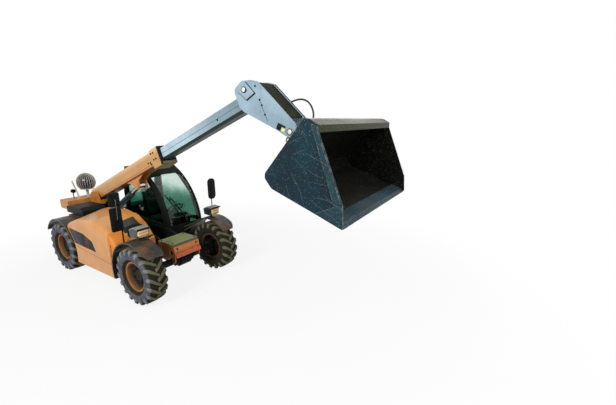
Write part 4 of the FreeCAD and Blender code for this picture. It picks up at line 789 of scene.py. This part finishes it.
# %% [markdown]
# ## Tyres
# A handler's tyre is a fat carcass with two staggered rows of slanting lugs. The lugs could be bumps in a material,
# but they show in the outline, so they are mesh: each is a bar swept along a path that starts past the middle of the
# tread, runs slanting to the shoulder and turns down onto the sidewall. The rule is the same for all of them, so one
# loop makes both rows, each with the same count of lugs as the solid tyre has.

# %% Tyres
TYRE_RADIUS = 0.4615
LUGS_PER_SIDE = 18
# across the tyre from its bead to the middle of the tread: y, radius
CARCASS = [(0.1055, 0.2345), (0.110, 0.246), (0.117, 0.256), (0.131, 0.266), (0.143, 0.281), (0.1505, 0.300),
           (0.1545, 0.322), (0.1560, 0.345), (0.1545, 0.368), (0.1500, 0.390), (0.1410, 0.408), (0.126, 0.420),
           (0.100, 0.4265), (0.055, 0.4290), (0.0, 0.4300)]
# path of a lug: y and radius of its top, y and radius of its root, how far forward, half its width
LUG_PATH = [(-0.018, 0.4615, -0.018, 0.424, -0.064, 0.0235), (0.012, 0.4615, 0.012, 0.424, -0.043, 0.0255),
            (0.045, 0.4612, 0.045, 0.424, -0.015, 0.0275), (0.080, 0.4600, 0.080, 0.422, 0.017, 0.0300),
            (0.112, 0.4575, 0.112, 0.418, 0.044, 0.0320), (0.136, 0.4520, 0.130, 0.412, 0.060, 0.0330),
            (0.1500, 0.4380, 0.140, 0.400, 0.066, 0.0330), (0.1575, 0.4160, 0.146, 0.386, 0.068, 0.0320),
            (0.1598, 0.3900, 0.150, 0.372, 0.069, 0.0290), (0.1580, 0.3640, 0.152, 0.356, 0.069, 0.0240)]


def wheel_spot(centre, y, radius, angle):
    return Vector(centre) + Vector((radius * math.sin(angle), y, -radius * math.cos(angle)))


def add_lug(bm, marks, centre, side, outside, angle):
    """Bar of six-cornered sections along the lug's path, marked 1 on top, 0 at its root, and where it is on the outer
    wall, which takes a painted sheen.
    """
    sections = []
    for top_y, top_r, root_y, root_r, ahead, half in LUG_PATH:
        sections.append([])
        for across, height in ((-half - 0.004, 0.0), (-half, 0.84), (-half + 0.005, 1.0), (half - 0.005, 1.0),
                               (half, 0.84), (half + 0.004, 0.0)):
            y = side * (root_y + (top_y - root_y) * height)
            radius = root_r + (top_r - root_r) * height
            vert = bm.verts.new(wheel_spot(centre, y, radius, angle + (ahead + across) / TYRE_RADIUS))
            vert[marks["lug"]] = height
            # painted sheen on the lugs' flanks, on the outer sidewall only
            vert[marks["wall"]] = 0.80 * height if top_r < 0.445 and side == outside else 0.0
            sections[-1].append(vert)
    for first, second in zip(sections, sections[1:]):
        for k in range(5):
            bm.faces.new((first[k], first[k + 1], second[k + 1], second[k]))
    bm.faces.new(sections[0])
    bm.faces.new(sections[-1][::-1])


def make_tyre(name, centre):
    bm = bmesh.new()
    marks = {label: bm.verts.layers.float.new(label) for label in ("lug", "wall")}
    marks = {label: bm.verts.layers.float[label] for label in marks}
    profile = [(-y, r) for y, r in CARCASS[:-1]] + CARCASS[::-1]
    rings = turned(bm, profile, centre, segments=96)
    for (y, r), ring in zip(profile, rings):
        for vert in ring:
            vert[marks["lug"]] = 0.10
            # painted sheen on the outer sidewall only; the inner one keeps the black of its shade
            vert[marks["wall"]] = 0.42 if 0.282 < r < 0.412 and y * SIDES[name] > 0 else 0.0
    for k in range(LUGS_PER_SIDE):
        for side, shift in ((1, 0.0), (-1, 0.5)):
            add_lug(bm, marks, centre, side, SIDES[name], 2 * math.pi * (k + shift) / LUGS_PER_SIDE)
    piece = new_piece("tyre_rubber_" + name, bm, "wheel_" + name, TYRE_RUBBER)
    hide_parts("tyre_" + name)
    return piece


for name in WHEELS:
    tyre = make_tyre(name, middle("rim_" + name))
    print(tyre.name, len(tyre.data.polygons), "faces")

# %% [markdown]
# ## Rims
# The rim is pressed from plate: a flange at each edge, a drop in the middle, a dish and a nave with a ring of wheel
# nuts. It is round about one axle, so its section turned about that axle gives all of it. The dish faces outwards on
# every wheel, so the left and right rims are the same section turned the other way.

# %% Rims
# along the axle towards the outside, radius
RIM_SECTION = [(-0.115, 0.2300), (-0.115, 0.2395), (-0.111, 0.2430), (-0.1075, 0.2415), (-0.1062, 0.2290),
               (0.1062, 0.2290), (0.1075, 0.2415), (0.111, 0.2430), (0.115, 0.2395), (0.1145, 0.2270),
               (0.106, 0.2170), (0.072, 0.2090), (0.050, 0.2030), (0.041, 0.1950), (0.034, 0.1800), (0.0300, 0.1500),
               (0.034, 0.1440), (0.0405, 0.1400), (0.0405, 0.0960), (0.046, 0.0900), (0.053, 0.0860), (0.053, 0.0500),
               (0.050, 0.0460), (0.048, 0.0), (0.026, 0.0), (0.026, 0.0390), (-0.042, 0.0390), (-0.042, 0.0780),
               (0.016, 0.0910), (0.017, 0.1500), (0.024, 0.1880), (-0.100, 0.2120)]
# how dark each ring is painted, as shade and old dirt: the outer flange and barrel keep their colour, the dish and the
# back don't
RIM_DARK = [0.9, 0.6, 0.3, 0.5, 0.9, 0.9, 0.3, 0.0, 0.0, 0.0, 0.25, 0.6, 0.85] + [1.0] * 18 + [0.95]
for name in WHEELS:
    bm = bmesh.new()
    deep = bm.verts.layers.float.new("deep")
    for dark, ring in zip(RIM_DARK, turned(bm, RIM_SECTION, middle("rim_" + name), segments=96, side=SIDES[name])):
        for vert in ring:
            if vert.is_valid:
                vert[deep] = dark
    rim = new_piece("rim_steel_" + name, bm, "wheel_" + name, RIM_ORANGE)
    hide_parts("rim_" + name)
print("rims:", len(WHEELS), "with", len(RIM_SECTION), "rings each")

# %% [markdown]
# ## Bolts and nuts
# Wheel nuts, cutter bolts, cover screws and pin keepers' bolts are one thing in several sizes: a six-sided head on a
# washer, square to what it holds. Geometry Nodes place them: a mesh of bare points says where, an attribute on each
# point says which way the head faces, and the tree puts a head there, so one tree serves every row.

# %% Bolt tree


def make_bolt_tree():
    tree = bpy.data.node_groups.new("bolt_heads", "GeometryNodeTree")
    tree.interface.new_socket("Places", in_out="INPUT", socket_type="NodeSocketGeometry")
    for label in ("Across", "Height"):
        tree.interface.new_socket(label, in_out="INPUT", socket_type="NodeSocketFloat")
    tree.interface.new_socket("Finish", in_out="INPUT", socket_type="NodeSocketMaterial")
    tree.interface.new_socket("Heads", in_out="OUTPUT", socket_type="NodeSocketGeometry")
    entry = tree.nodes.new("NodeGroupInput")
    result = tree.nodes.new("NodeGroupOutput")

    def disc(sides, wide, tall, lift):
        radius = add(tree, "ShaderNodeMath", {0: entry.outputs["Across"], 1: wide}, operation="MULTIPLY").outputs[0]
        depth = add(tree, "ShaderNodeMath", {0: entry.outputs["Height"], 1: tall}, operation="MULTIPLY").outputs[0]
        raised = add(tree, "ShaderNodeMath", {0: entry.outputs["Height"], 1: lift}, operation="MULTIPLY").outputs[0]
        body = add(tree, "GeometryNodeMeshCone", {"Vertices": sides, "Radius Top": add(
            tree, "ShaderNodeMath", {0: radius, 1: 0.90}, operation="MULTIPLY").outputs[0],
            "Radius Bottom": radius, "Depth": depth})
        spot = add(tree, "ShaderNodeCombineXYZ", {"Z": raised})
        return add(tree, "GeometryNodeTransform", {"Geometry": body.outputs["Mesh"],
                                                   "Translation": spot.outputs["Vector"]}).outputs["Geometry"]

    head = tree.nodes.new("GeometryNodeJoinGeometry")
    for sides, wide, tall, lift in ((6, 0.58, 0.75, 0.25), (16, 0.80, 0.25, 0.0)):
        tree.links.new(disc(sides, wide, tall, lift), head.inputs["Geometry"])
    facing = add(tree, "GeometryNodeInputNamedAttribute", {"Name": "facing"}, data_type="FLOAT_VECTOR")
    turn = add(tree, "FunctionNodeAlignRotationToVector", {"Vector": facing.outputs["Attribute"]}, axis="Z")
    spread = add(tree, "GeometryNodeInstanceOnPoints", {"Points": entry.outputs["Places"],
                                                        "Instance": head.outputs["Geometry"],
                                                        "Rotation": turn.outputs["Rotation"]})
    real = add(tree, "GeometryNodeRealizeInstances", {"Geometry": spread.outputs["Instances"]})
    painted = add(tree, "GeometryNodeSetMaterial", {"Geometry": real.outputs["Geometry"],
                                                    "Material": entry.outputs["Finish"]})
    tree.links.new(painted.outputs["Geometry"], result.inputs["Heads"])
    return tree


def grown_from(name, tree, start, values, body):
    """Runs a geometry tree on a start mesh and keeps the result as a plain piece on a body."""
    source = bpy.data.objects.new(name + "_source", start)
    bpy.context.scene.collection.objects.link(source)
    modifier = source.modifiers.new("tree", "NODES")
    modifier.node_group = tree
    sockets = {s.name: s.identifier for s in tree.interface.items_tree if s.in_out == "INPUT"}
    for label, value in values.items():
        modifier[sockets[label]] = value
    bpy.context.view_layer.update()
    evaluated = source.evaluated_get(bpy.context.evaluated_depsgraph_get())
    mesh = bpy.data.meshes.new_from_object(evaluated)
    bpy.data.objects.remove(source)
    mesh.name = name
    return new_piece(name, mesh, body)


BOLT_TREE = make_bolt_tree()


def bolt_row(name, body, places, across=0.022, height=0.010, material=BLACK_STEEL):
    """Bolt heads at places, each (point, facing)."""
    start = bpy.data.meshes.new(name + "_places")
    start.from_pydata([tuple(p) for p, _ in places], [], [])
    facing = start.attributes.new("facing", "FLOAT_VECTOR", "POINT")
    for k, (_, way) in enumerate(places):
        facing.data[k].vector = tuple(way)
    return grown_from(name, BOLT_TREE, start, {"Across": across, "Height": height, "Finish": material}, body)


print("bolt tree nodes:", len(BOLT_TREE.nodes))

# %% Rows of bolts
boom_up = Vector((-math.sin(BOOM_ANGLE), 0, math.cos(BOOM_ANGLE)))
for name in WHEELS:
    hub, side = middle("rim_" + name), SIDES[name]
    ring = []
    for k in range(8):
        a = 2 * math.pi * (k + 0.5) / 8
        ring.append((hub + Vector((0.118 * math.sin(a), side * 0.0405, 0.118 * math.cos(a))), (0, side, 0)))
    bolt_row("wheel_nuts_" + name, "wheel_" + name, ring, 0.030, 0.020, BLACK_STEEL)

collar, nose = [], []
for side in (-1, 1):
    way = (0, side, 0)
    for s, n, y in ((2.255, 0.122, 0.140), (2.315, 0.118, 0.140), (2.285, 0.012, 0.140), (2.350, 0.010, 0.140),
                    (2.070, 0.014, 0.120), (2.140, 0.004, 0.120), (2.150, -0.026, 0.120)):
        collar.append((on_boom(s, side * y, n), way))
    for x, z in ((-0.498, 0.526), (-0.436, 0.367), (-0.405, 0.304), (-0.360, 0.195)):
        nose.append((at(TIP_PIN[0] + x, side * 0.170, TIP_PIN[1] + z), way))
bolt_row("collar_bolts", "boom", collar, 0.021, 0.010)
bolt_row("nose_bolts", "fly", nose, 0.017, 0.008)
top_screws = [(at(x, y, 0.800), (0, 0, 1)) for x in (0.950, 1.250) for y in (-0.215, 0.215)]
front_screws = [(at(1.3215, y, 0.720), (0.94, 0, 0.26)) for y in (-0.19, 0.19)]
bolt_row("box_screws", "root", top_screws + front_screws, 0.022, 0.009)
print("bolts on the collar, nose and box:", len(collar), len(nose), len(top_screws + front_screws))

# %% [markdown]
# ## Lamps
# Each headlight is a black box with a wide amber lens in its front and a sheet cap over it, whose black lip shades the
# lens. The lens is a rounded outline built up in thinning layers, so it bulges as a moulded one does.

# %% Headlights and tail lamps
lamp_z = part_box("lamp_housings")[1].z - 0.082
for label, side in (("right", -1), ("left", 1)):
    y = side * 0.7075
    bm = bmesh.new()
    domed(bm, at(1.2790, y, lamp_z - 0.006), (0, 1, 0), (0.137, 0, 1), 0.085, 0.060, 0.044,
          ((0.0, 0.0), (0.010, 0.001), (0.018, 0.007), (0.024, 0.020), (0.0265, 0.036)))
    new_piece("headlight_lens_" + label, bm, "root", LAMP_GLASS)
    bm = bmesh.new()
    line = [(1.306, 0.056), (1.3065, 0.0745), (1.180, 0.0885), (1.084, 0.0450), (1.084, 0.030), (1.182, 0.0710)]
    slab(bm, [at(x, y - 0.100, lamp_z + z) for x, z in line], (0, 0.200, 0))
    softened(bm, 0.004)
    new_piece("headlight_cap_" + label, bm, "root", PALE_CAP)
    bm = bmesh.new()
    domed(bm, at(1.3065, y, lamp_z + 0.065), (0, 1, 0), (0, 0, 1), 0.104, 0.013, 0.006, ((0, 0), (0.008, 0), (0.010, 0.003)))
    new_piece("headlight_lip_" + label, bm, "root", BLACK_PLASTIC)
    tail_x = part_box("lamp_housings")[0].x
    spot = Vector((tail_x + 0.0002, side * 0.430, 1.090))
    bm = bmesh.new()
    slab(bm, [spot + Vector((0, j * 0.036, k * 0.032)) for j, k in ((-1, -1), (1, -1), (1, 1), (-1, 1))],
         (0.004, 0, 0))
    new_piece("tail_lens_" + label, bm, "root", RED_GLASS)
print("lamp middle at z =", round(lamp_z, 3))

# %% [markdown]
# ## Mirrors
# Three mirrors stand on bars: two on the right, one over the other, and one on the left. A mirror's back is a domed
# shell with rounded corners and a round pivot, so it is drawn as layers too. Its glass lies in the face that looks
# back along the machine.

# %% Mirrors
# label, y of the middle, z of the middle, half width, half height, x of the front face
SHELLS = [("main", -0.814, 1.310, 0.0900, 0.190, 0.810), ("wide", -0.806, 1.625, 0.0840, 0.105, 0.810),
          ("left", 0.7875, 1.545, 0.0860, 0.194, 1.160)]
CORNERS = {"main": 0.030, "wide": 0.030, "left": 0.070}
bm = bmesh.new()
for label, y, z, wide, tall, x in SHELLS:
    domed(bm, at(x - 0.026, y, z), (0, 1, 0), (0, 0, 1), wide, tall, CORNERS[label],
          ((0.0, 0.004), (0.003, 0.0), (0.014, 0.0), (0.021, 0.006), (0.025, 0.018), (0.026, 0.035)))
    domed(bm, at(x, y, z), (0, 1, 0), (0, 0, 1), 0.026, 0.026, 0.026, ((0.0, 0.0), (0.006, 0.001), (0.008, 0.006)))
for y, x, levels in ((-0.740, 0.770, (1.220, 1.440, 1.620)), (0.7875, 1.120, (1.470, 1.640))):
    for z in levels:
        domed(bm, at(x - 0.014, y, z), (0, 1, 0), (0, 0, 1), 0.017, 0.021, 0.005, ((0, 0), (0.034, 0)))
pipe_through(bm, [at(0.770, -0.740, 0.845), at(0.770, -0.740, 1.700)], 0.011, 16)
shells = new_piece("mirror_shells", bm, "root", BLACK_PLASTIC)
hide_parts("mirrors")
bm = bmesh.new()
pipe_through(bm, [at(1.120, 0.7875, 1.1560), at(1.120, 0.7875, 1.7390)], 0.011, 16)
new_piece("mirror_stem_left", bm, "root", PALE_CAP)
bm = bmesh.new()
pipe_through(bm, [at(0.8185, -0.814, 1.310), at(0.832, -0.812, 1.330), at(0.832, -0.808, 1.605),
                  at(0.8185, -0.806, 1.625)], 0.0026, 8)
new_piece("mirror_link", bm, "root", PALE_CAP)
for label, y, z, wide, tall, x in SHELLS:
    bm = bmesh.new()
    domed(bm, at(x - 0.028, y, z), (0, 1, 0), (0, 0, 1), wide - 0.010, tall - 0.010, CORNERS[label] - 0.007,
          ((0, 0), (0.002, 0)))
    new_piece("mirror_glass_" + label, bm, "root", MIRROR)
print("mirrors:", len(SHELLS))

# %% [markdown]
# ## Seat pads
# A seat cushion is foam under stretched cloth: crowned in the middle, pulled in at its seams. Inflating a slightly
# smaller block as cloth gives that shape without drawing it, because the surface settles as real cover fabric does.
# The move of each point is capped, so the pad stays in the space that the seat leaves it.

# %% Seat pads


def pad_mesh(points, y0, y1):
    """Block of an outline (x, z) between two levels of Y, its edges rounded."""
    bm = bmesh.new()
    slab(bm, [at(x, y0, z) for x, z in points], (0, y1 - y0, 0))
    softened(bm, 0.022, 3)
    mesh = bpy.data.meshes.new("pad")
    bmesh.ops.recalc_face_normals(bm, faces=bm.faces[:])
    bm.to_mesh(mesh)
    bm.free()
    return mesh


def inflate(piece, cap):
    """Remeshes a pad finely, blows it up as cloth for 20 frames and keeps each point's move under the cap."""
    remesh = piece.modifiers.new("remesh", "REMESH")
    remesh.mode = "VOXEL"
    remesh.voxel_size = 0.0075
    evaluated = piece.evaluated_get(bpy.context.evaluated_depsgraph_get())
    fine = bpy.data.meshes.new_from_object(evaluated)
    piece.modifiers.clear()
    piece.data = fine
    start = [v.co.copy() for v in fine.vertices]
    cloth = piece.modifiers.new("cloth", "CLOTH")
    cloth.settings.use_pressure = True
    cloth.settings.uniform_pressure_force = 4.0
    cloth.settings.effector_weights.gravity = 0.0
    cloth.point_cache.frame_start = 1
    cloth.point_cache.frame_end = 20
    for frame_number in range(1, 21):
        bpy.context.scene.frame_set(frame_number)
    evaluated = piece.evaluated_get(bpy.context.evaluated_depsgraph_get())
    moved = bpy.data.meshes.new_from_object(evaluated)
    for vert, before in zip(moved.vertices, start):
        step = vert.co - before
        if step.length > cap:
            vert.co = before + step * (cap / step.length)
    piece.modifiers.clear()
    piece.data = moved
    bpy.context.scene.frame_set(1)


# piece, node, outline (x, z), from y, to y, fill
PADS = [("seat_cushion_pad", "seat_cushion", [(-0.348, 0.812), (0.118, 0.814), (0.126, 0.896), (-0.348, 0.880)],
         0.314, 0.766, 0.8),
        ("seat_back_pad", "seat_back", [(-0.342, 0.906), (-0.262, 0.912), (-0.340, 1.470), (-0.424, 1.466)],
         0.322, 0.758, 0.7)]
for label, node, points, y0, y1, fill in PADS:
    pad = bpy.data.objects.new(label, pad_mesh(points, y0, y1))
    bpy.context.scene.collection.objects.link(pad)
    inflate(pad, 0.010)
    pad.data.polygons.foreach_set("use_smooth", [True] * len(pad.data.polygons))
    pad.data.materials.clear()
    pad.data.materials.append(SEAT_CLOTH)
    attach(pad, "root")
    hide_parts(node)
    print(label, len(pad.data.vertices), "points")

# %% [markdown]
# ## Small parts on the boom and nose
# A black scraper frame closes the mouth of the outer boom round the inner one, and a worn pad shows under it. The pins
# have turned bright ends in black rings, and a square keeper plate holds the nose pin on a black backing, set a little
# forward and lower so that it shows as painted shadow along two of the keeper's edges, with a black crescent of painted
# shadow beside the pin. They are thin, so they are outlines given a thickness.

# %% Scraper, pad, pins and keepers
bm = bmesh.new()
outer = [(-0.136, -0.122), (0.136, -0.122), (0.136, 0.178), (-0.136, 0.178)]
inner = [(-0.0975, -0.0545), (0.0975, -0.0545), (0.0975, 0.1445), (-0.0975, 0.1445)]
scraper_depth = on_boom(0.038, 0, 0) - on_boom(0, 0, 0)
for k in range(4):
    n = (k + 1) % 4
    if k == 0:
        bottom = [(-0.136, -0.078), (0.136, -0.078), inner[1], inner[0]]
        slab(bm, [on_boom(2.4402, y, v) for y, v in bottom], scraper_depth)
        continue
    corner = [outer[k], outer[n], inner[n], inner[k]]
    slab(bm, [on_boom(2.4402, y, v) for y, v in corner], scraper_depth)
new_piece("boom_scraper", bm, "boom", BLACK_PLASTIC)

bm = bmesh.new()
slab(bm, [on_boom(2.4402, y, v) for y, v in ((-0.120, -0.1215), (0.120, -0.1215), (0.130, -0.0785), (-0.130, -0.0785))],
     on_boom(0.046, 0, 0) - on_boom(0, 0, 0))
slab(bm, [on_boom(s, -0.100, n) for s, n in ((2.360, -0.137), (2.478, -0.137), (2.478, -0.1225), (2.4402, -0.1225),
                                             (2.4402, -0.1365), (2.360, -0.1365))], (0, 0.200, 0))
new_piece("boom_wear_pad", bm, "boom", PAD_OLIVE)


def pin_end(name, body, place, side, radius, proud=0.004):
    """Bright turned end of a pin in a black ring, on one side of the machine."""
    section = [(0.0, 0.0), (0.0, radius), (proud * 0.7, radius), (proud, radius - 0.003), (proud, 0.0)]
    bm = bmesh.new()
    turned(bm, section, place, segments=28, side=side)
    new_piece(name, bm, body, BRIGHT_STEEL)
    ring = [(0.0, radius), (0.0, radius + 0.010), (proud * 0.4, radius + 0.010), (proud * 0.4, radius)]
    bm = bmesh.new()
    turned(bm, ring, place, segments=28, side=side)
    new_piece(name + "_ring", bm, body, BLACK_STEEL)


def on_tip(x, y, z):
    """A place given from the bucket's pivot pin."""
    return at(TIP_PIN[0] + x, y, TIP_PIN[1] + z)


KEEPER = [(-0.650, 0.578), (-0.512, 0.447), (-0.640, 0.372), (-0.775, 0.470)]
for label, side in (("right", -1), ("left", 1)):
    pin_end("nose_pin_" + label, "fly", on_tip(-0.6752, side * 0.1806, 0.4920), side, 0.027)
    pin_end("tip_pin_" + label, "fly", on_tip(0.0, side * 0.1802, 0.0), side, 0.028)
    pin_end("tilt_pin_" + label, "bucket", on_tip(-0.0862, side * 0.0802, -0.1071), side, 0.028)
    pin_end("lift_pin_" + label, "boom", on_boom(1.448, side * 0.0822, -0.207), side, 0.030)
    bm = bmesh.new()
    slab(bm, [on_tip(x, side * 0.1702, z) for x, z in KEEPER], (0, side * 0.0098, 0))
    softened(bm, 0.003)
    new_piece("nose_keeper_" + label, bm, "fly", GREY_BLUE)
    # painted shadow: a black backing, larger and set a little forward and lower than the keeper, shows as shadow lines
    # along two of its edges, and a black disc off the pin as a shadow crescent; a fine dark line runs through the bolts
    bm = bmesh.new()
    slab(bm, [on_tip(-0.639 + (x + 0.646) * 1.09, side * 0.1701, 0.465 + (z - 0.470) * 1.09) for x, z in KEEPER],
         (0, side * 0.0035, 0))
    turned(bm, [(0.0, 0.0), (0.0, 0.034), (0.0006, 0.034), (0.0006, 0.0)], on_tip(-0.657, side * 0.1801, 0.487),
           segments=28, side=side)
    ribbon(bm, [on_tip(x, side * 0.1701, z) for x, z in ((-0.436, 0.367), (-0.360, 0.195), (-0.322, 0.119))],
           (0.0022, 0, 0.001), (0, side * 0.0006, 0))
    new_piece("nose_shadow_and_seam_" + label, bm, "fly", BLACK_STEEL)
    bm = bmesh.new()
    domed(bm, on_tip(-0.092, side * 0.1702, 0.020), (1, 0, -0.3), (0.3, 0, 1), 0.025, 0.019, 0.004,
          ((0, 0), (-side * 0.010, 0)))
    new_piece("nose_block_" + label, bm, "fly", BLOCK_YELLOW)
    bm = bmesh.new()
    domed(bm, on_tip(-0.158, side * 0.1702, 0.046), (1, 0, -0.4), (0.4, 0, 1), 0.030, 0.026, 0.006,
          ((0, 0), (-side * 0.008, 0), (-side * 0.009, 0.002)))
    domed(bm, on_tip(-0.118, side * 0.1702, 0.071), (1, 0, -0.4), (0.4, 0, 1), 0.056, 0.010, 0.004,
          ((0, 0), (-side * 0.006, 0)))
    new_piece("nose_stop_" + label, bm, "fly", BLACK_STEEL)
    bm = bmesh.new()
    turned(bm, [(0.0, 0.0), (0.0, 0.016), (0.0014, 0.015), (0.0014, 0.0)], on_boom(3.892, side * 0.0950, 0.037),
           segments=24, side=side)
    new_piece("fly_plug_" + label, bm, "fly", BLACK_STEEL)

bm = bmesh.new()
edge = (on_boom(0.434, 0, -0.901) - on_boom(0, 0, 0))
edge_out = (on_boom(0.901, 0, 0.434) - on_boom(0, 0, 0))
ribbon(bm, [on_boom(4.800, 0.160, 0.135) + edge_out * 0.0005, on_boom(5.108, 0.160, -0.503) + edge_out * 0.0005],
       (0, 0.010, 0), edge_out * 0.004)
new_piece("nose_edge_guard", bm, "fly", BLACK_STEEL)
print("scraper, pad, pins and keepers on the boom")

# %% [markdown]
# ## Wiper, beacon and slot
# The wiper lies on the curved windscreen, so its two bars run through a few places on the glass. The beacon's cage
# gets a second set of ribs between the solid ones and a dark dome inside, and a thin black liner behind the side slot
# is painted shade that makes it look as deep as it is.

# %% Wiper
BLADE = [(0.408, 0.303, 1.425), (0.469, 0.338, 1.325), (0.529, 0.388, 1.205), (0.578, 0.447, 1.079), (0.608, 0.490, 0.985)]
ARM = [(0.448, 0.356, 1.373), (0.477, 0.397, 1.323), (0.537, 0.448, 1.202), (0.586, 0.508, 1.075), (0.620, 0.555, 0.940)]
bm = bmesh.new()
screen_out = Vector((0.90, -0.10, 0.42)).normalized()
ribbon(bm, [at(*p) + screen_out * 0.003 for p in BLADE], (0.0, 0.008, 0.003), screen_out * 0.010)
ribbon(bm, [at(*p) + screen_out * 0.014 for p in ARM], (0.0, 0.008, 0.003), screen_out * 0.010)
ribbon(bm, [at(0.462, 0.330, 1.335) + screen_out * 0.012, at(0.470, 0.392, 1.330) + screen_out * 0.014],
       (0.0, 0.0, 0.010), screen_out * 0.008)
domed(bm, at(0.632, 0.555, 0.925), (0, 1, 0), (-0.2, 0, 1), 0.022, 0.022, 0.010, ((0, 0), (0.026, 0.0), (0.030, 0.004)))
new_piece("windscreen_wiper", bm, "root", BLACK_PLASTIC)

# %% Beacon's ribs, dome, bracket and small lamp
BEACON = (-1.730, -0.060, 1.5295)
CAGE_WIDE = 0.171
CAGE_TALL = 0.185
bm = bmesh.new()
for k in range(24):
    turn_by = math.pi / 12 * k
    way = Vector((math.cos(turn_by), math.sin(turn_by), 0))
    route = []
    for step in range(12):
        a = math.radians(-48 + 138 * step / 11)
        route.append(at(*BEACON) + way * (CAGE_WIDE * math.cos(a)) + Vector((0, 0, CAGE_TALL * math.sin(a))))
    pipe_through(bm, route, 0.0052, 6)
new_piece("beacon_ribs", bm, "root", GUARD_PAINT)
bm = bmesh.new()
section = [((CAGE_TALL - 0.014) * math.sin(math.radians(a)), (CAGE_WIDE - 0.010) * math.cos(math.radians(a)))
           for a in range(-44, 91, 10)]
turned(bm, [(section[0][0], 0.0)] + section + [(CAGE_TALL - 0.014, 0.0)], at(*BEACON), axis="z", segments=32)
new_piece("beacon_shade", bm, "root", DOME_BLUE)
bm = bmesh.new()
ribbon(bm, [at(-1.885, -0.250, 1.560), at(-1.775, -0.250, 1.400), at(-1.660, -0.250, 1.212)], (0.022, 0, 0.012),
       (0, -0.008, 0))
new_piece("beacon_bracket", bm, "root", GUARD_PAINT)
bm = bmesh.new()
turned(bm, [(0.0, 0.0), (0.0, 0.030), (0.012, 0.040), (0.060, 0.042), (0.060, 0.0)], at(-1.930, -0.262, 1.350),
       axis="x", segments=24)
pipe_through(bm, [at(-1.900, -0.262, 1.209), at(-1.900, -0.262, 1.330)], 0.009)
new_piece("work_lamp", bm, "root", BLACK_PLASTIC)

# %% Liner of the side slot: a black sheet standing as painted shade
bm = bmesh.new()
slab(bm, [at(x, -0.8675, z) for x, z in ((0.578, 0.640), (0.622, 0.640), (0.650, 0.888), (0.600, 0.888))], (0, 0.002, 0))
new_piece("slot_shade_liner", bm, "root", BLACK_PLASTIC)
print("wiper, beacon and slot done")

# %% [markdown]
# ## Floor, sky and lamps
# A pale floor and a white surround keep the eye on the machine. What the camera, gloss and glass see of them is pure
# white, while the light that they throw stays plain: one large soft lamp high on the machine's right front, where
# the photograph's light comes from, a weaker one from the left, and an even sky.

# %% Floor and light
floor_mesh = bpy.data.meshes.new("floor")
floor_mesh.from_pydata([(-40, -40, 0), (40, -40, 0), (40, 40, 0), (-40, 40, 0)], [], [(0, 1, 2, 3)])
floor = bpy.data.objects.new("floor", floor_mesh)
floor.location.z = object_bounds()[0].z - 0.0005
bpy.context.scene.collection.objects.link(floor)
floor_finish = bpy.data.materials.new("floor_paint")
floor_finish.use_nodes = True
tree = floor_finish.node_tree
tree.nodes.clear()
paths = tree.nodes.new("ShaderNodeLightPath")
seen = maths(tree, "MAXIMUM", paths.outputs["Is Camera Ray"], paths.outputs["Is Glossy Ray"])
seen = maths(tree, "MAXIMUM", seen, paths.outputs["Is Transmission Ray"])
matt = add(tree, "ShaderNodeBsdfDiffuse", {"Color": (0.62, 0.62, 0.62, 1)})
glow = add(tree, "ShaderNodeEmission", {"Color": (1, 1, 1, 1), "Strength": 1.0})
spot = add(tree, "ShaderNodeTexCoord").outputs["Object"]
away = add(tree, "ShaderNodeVectorMath", {0: spot}, operation="LENGTH").outputs["Value"]
share = rescale(tree, away, 2.6, 6.5, 0.86, 1.0)
blend = add(tree, "ShaderNodeMixShader", {0: maths(tree, "MULTIPLY", seen, share), 1: matt.outputs[0],
                                          2: glow.outputs[0]})
tree.links.new(blend.outputs[0], tree.nodes.new("ShaderNodeOutputMaterial").inputs["Surface"])
floor_mesh.materials.append(floor_finish)

world = bpy.data.worlds.new("surround")
bpy.context.scene.world = world
world.use_nodes = True
tree = world.node_tree
tree.nodes.clear()
paths = tree.nodes.new("ShaderNodeLightPath")
seen = maths(tree, "MAXIMUM", paths.outputs["Is Camera Ray"], paths.outputs["Is Glossy Ray"])
seen = maths(tree, "MAXIMUM", seen, paths.outputs["Is Transmission Ray"])
strength = rescale(tree, seen, 0.0, 1.0, 0.34, 1.0)
sky = add(tree, "ShaderNodeBackground", {"Color": (1, 1, 1, 1), "Strength": strength})
tree.links.new(sky.outputs[0], tree.nodes.new("ShaderNodeOutputWorld").inputs["Surface"])

# name, place, aim, size, watts
for label, place, aim, size, watts in (("key", (2.5, -7.5, 6.5), (0.0, 0.0, 1.2), 3.0, 720.0),
                                       ("front", (8.0, -1.0, 5.0), (1.0, 0.0, 1.2), 5.0, 260.0),
                                       ("left", (0.5, 8.0, 5.0), (0.5, 0.0, 1.2), 5.0, 200.0)):
    lamp_data = bpy.data.lights.new(label, "AREA")
    lamp_data.size = size
    lamp_data.energy = watts
    lamp = bpy.data.objects.new(label, lamp_data)
    lamp.location = at(*place)
    lamp.rotation_euler = (at(*aim) - lamp.location).to_track_quat("-Z", "Y").to_euler()
    bpy.context.scene.collection.objects.link(lamp)
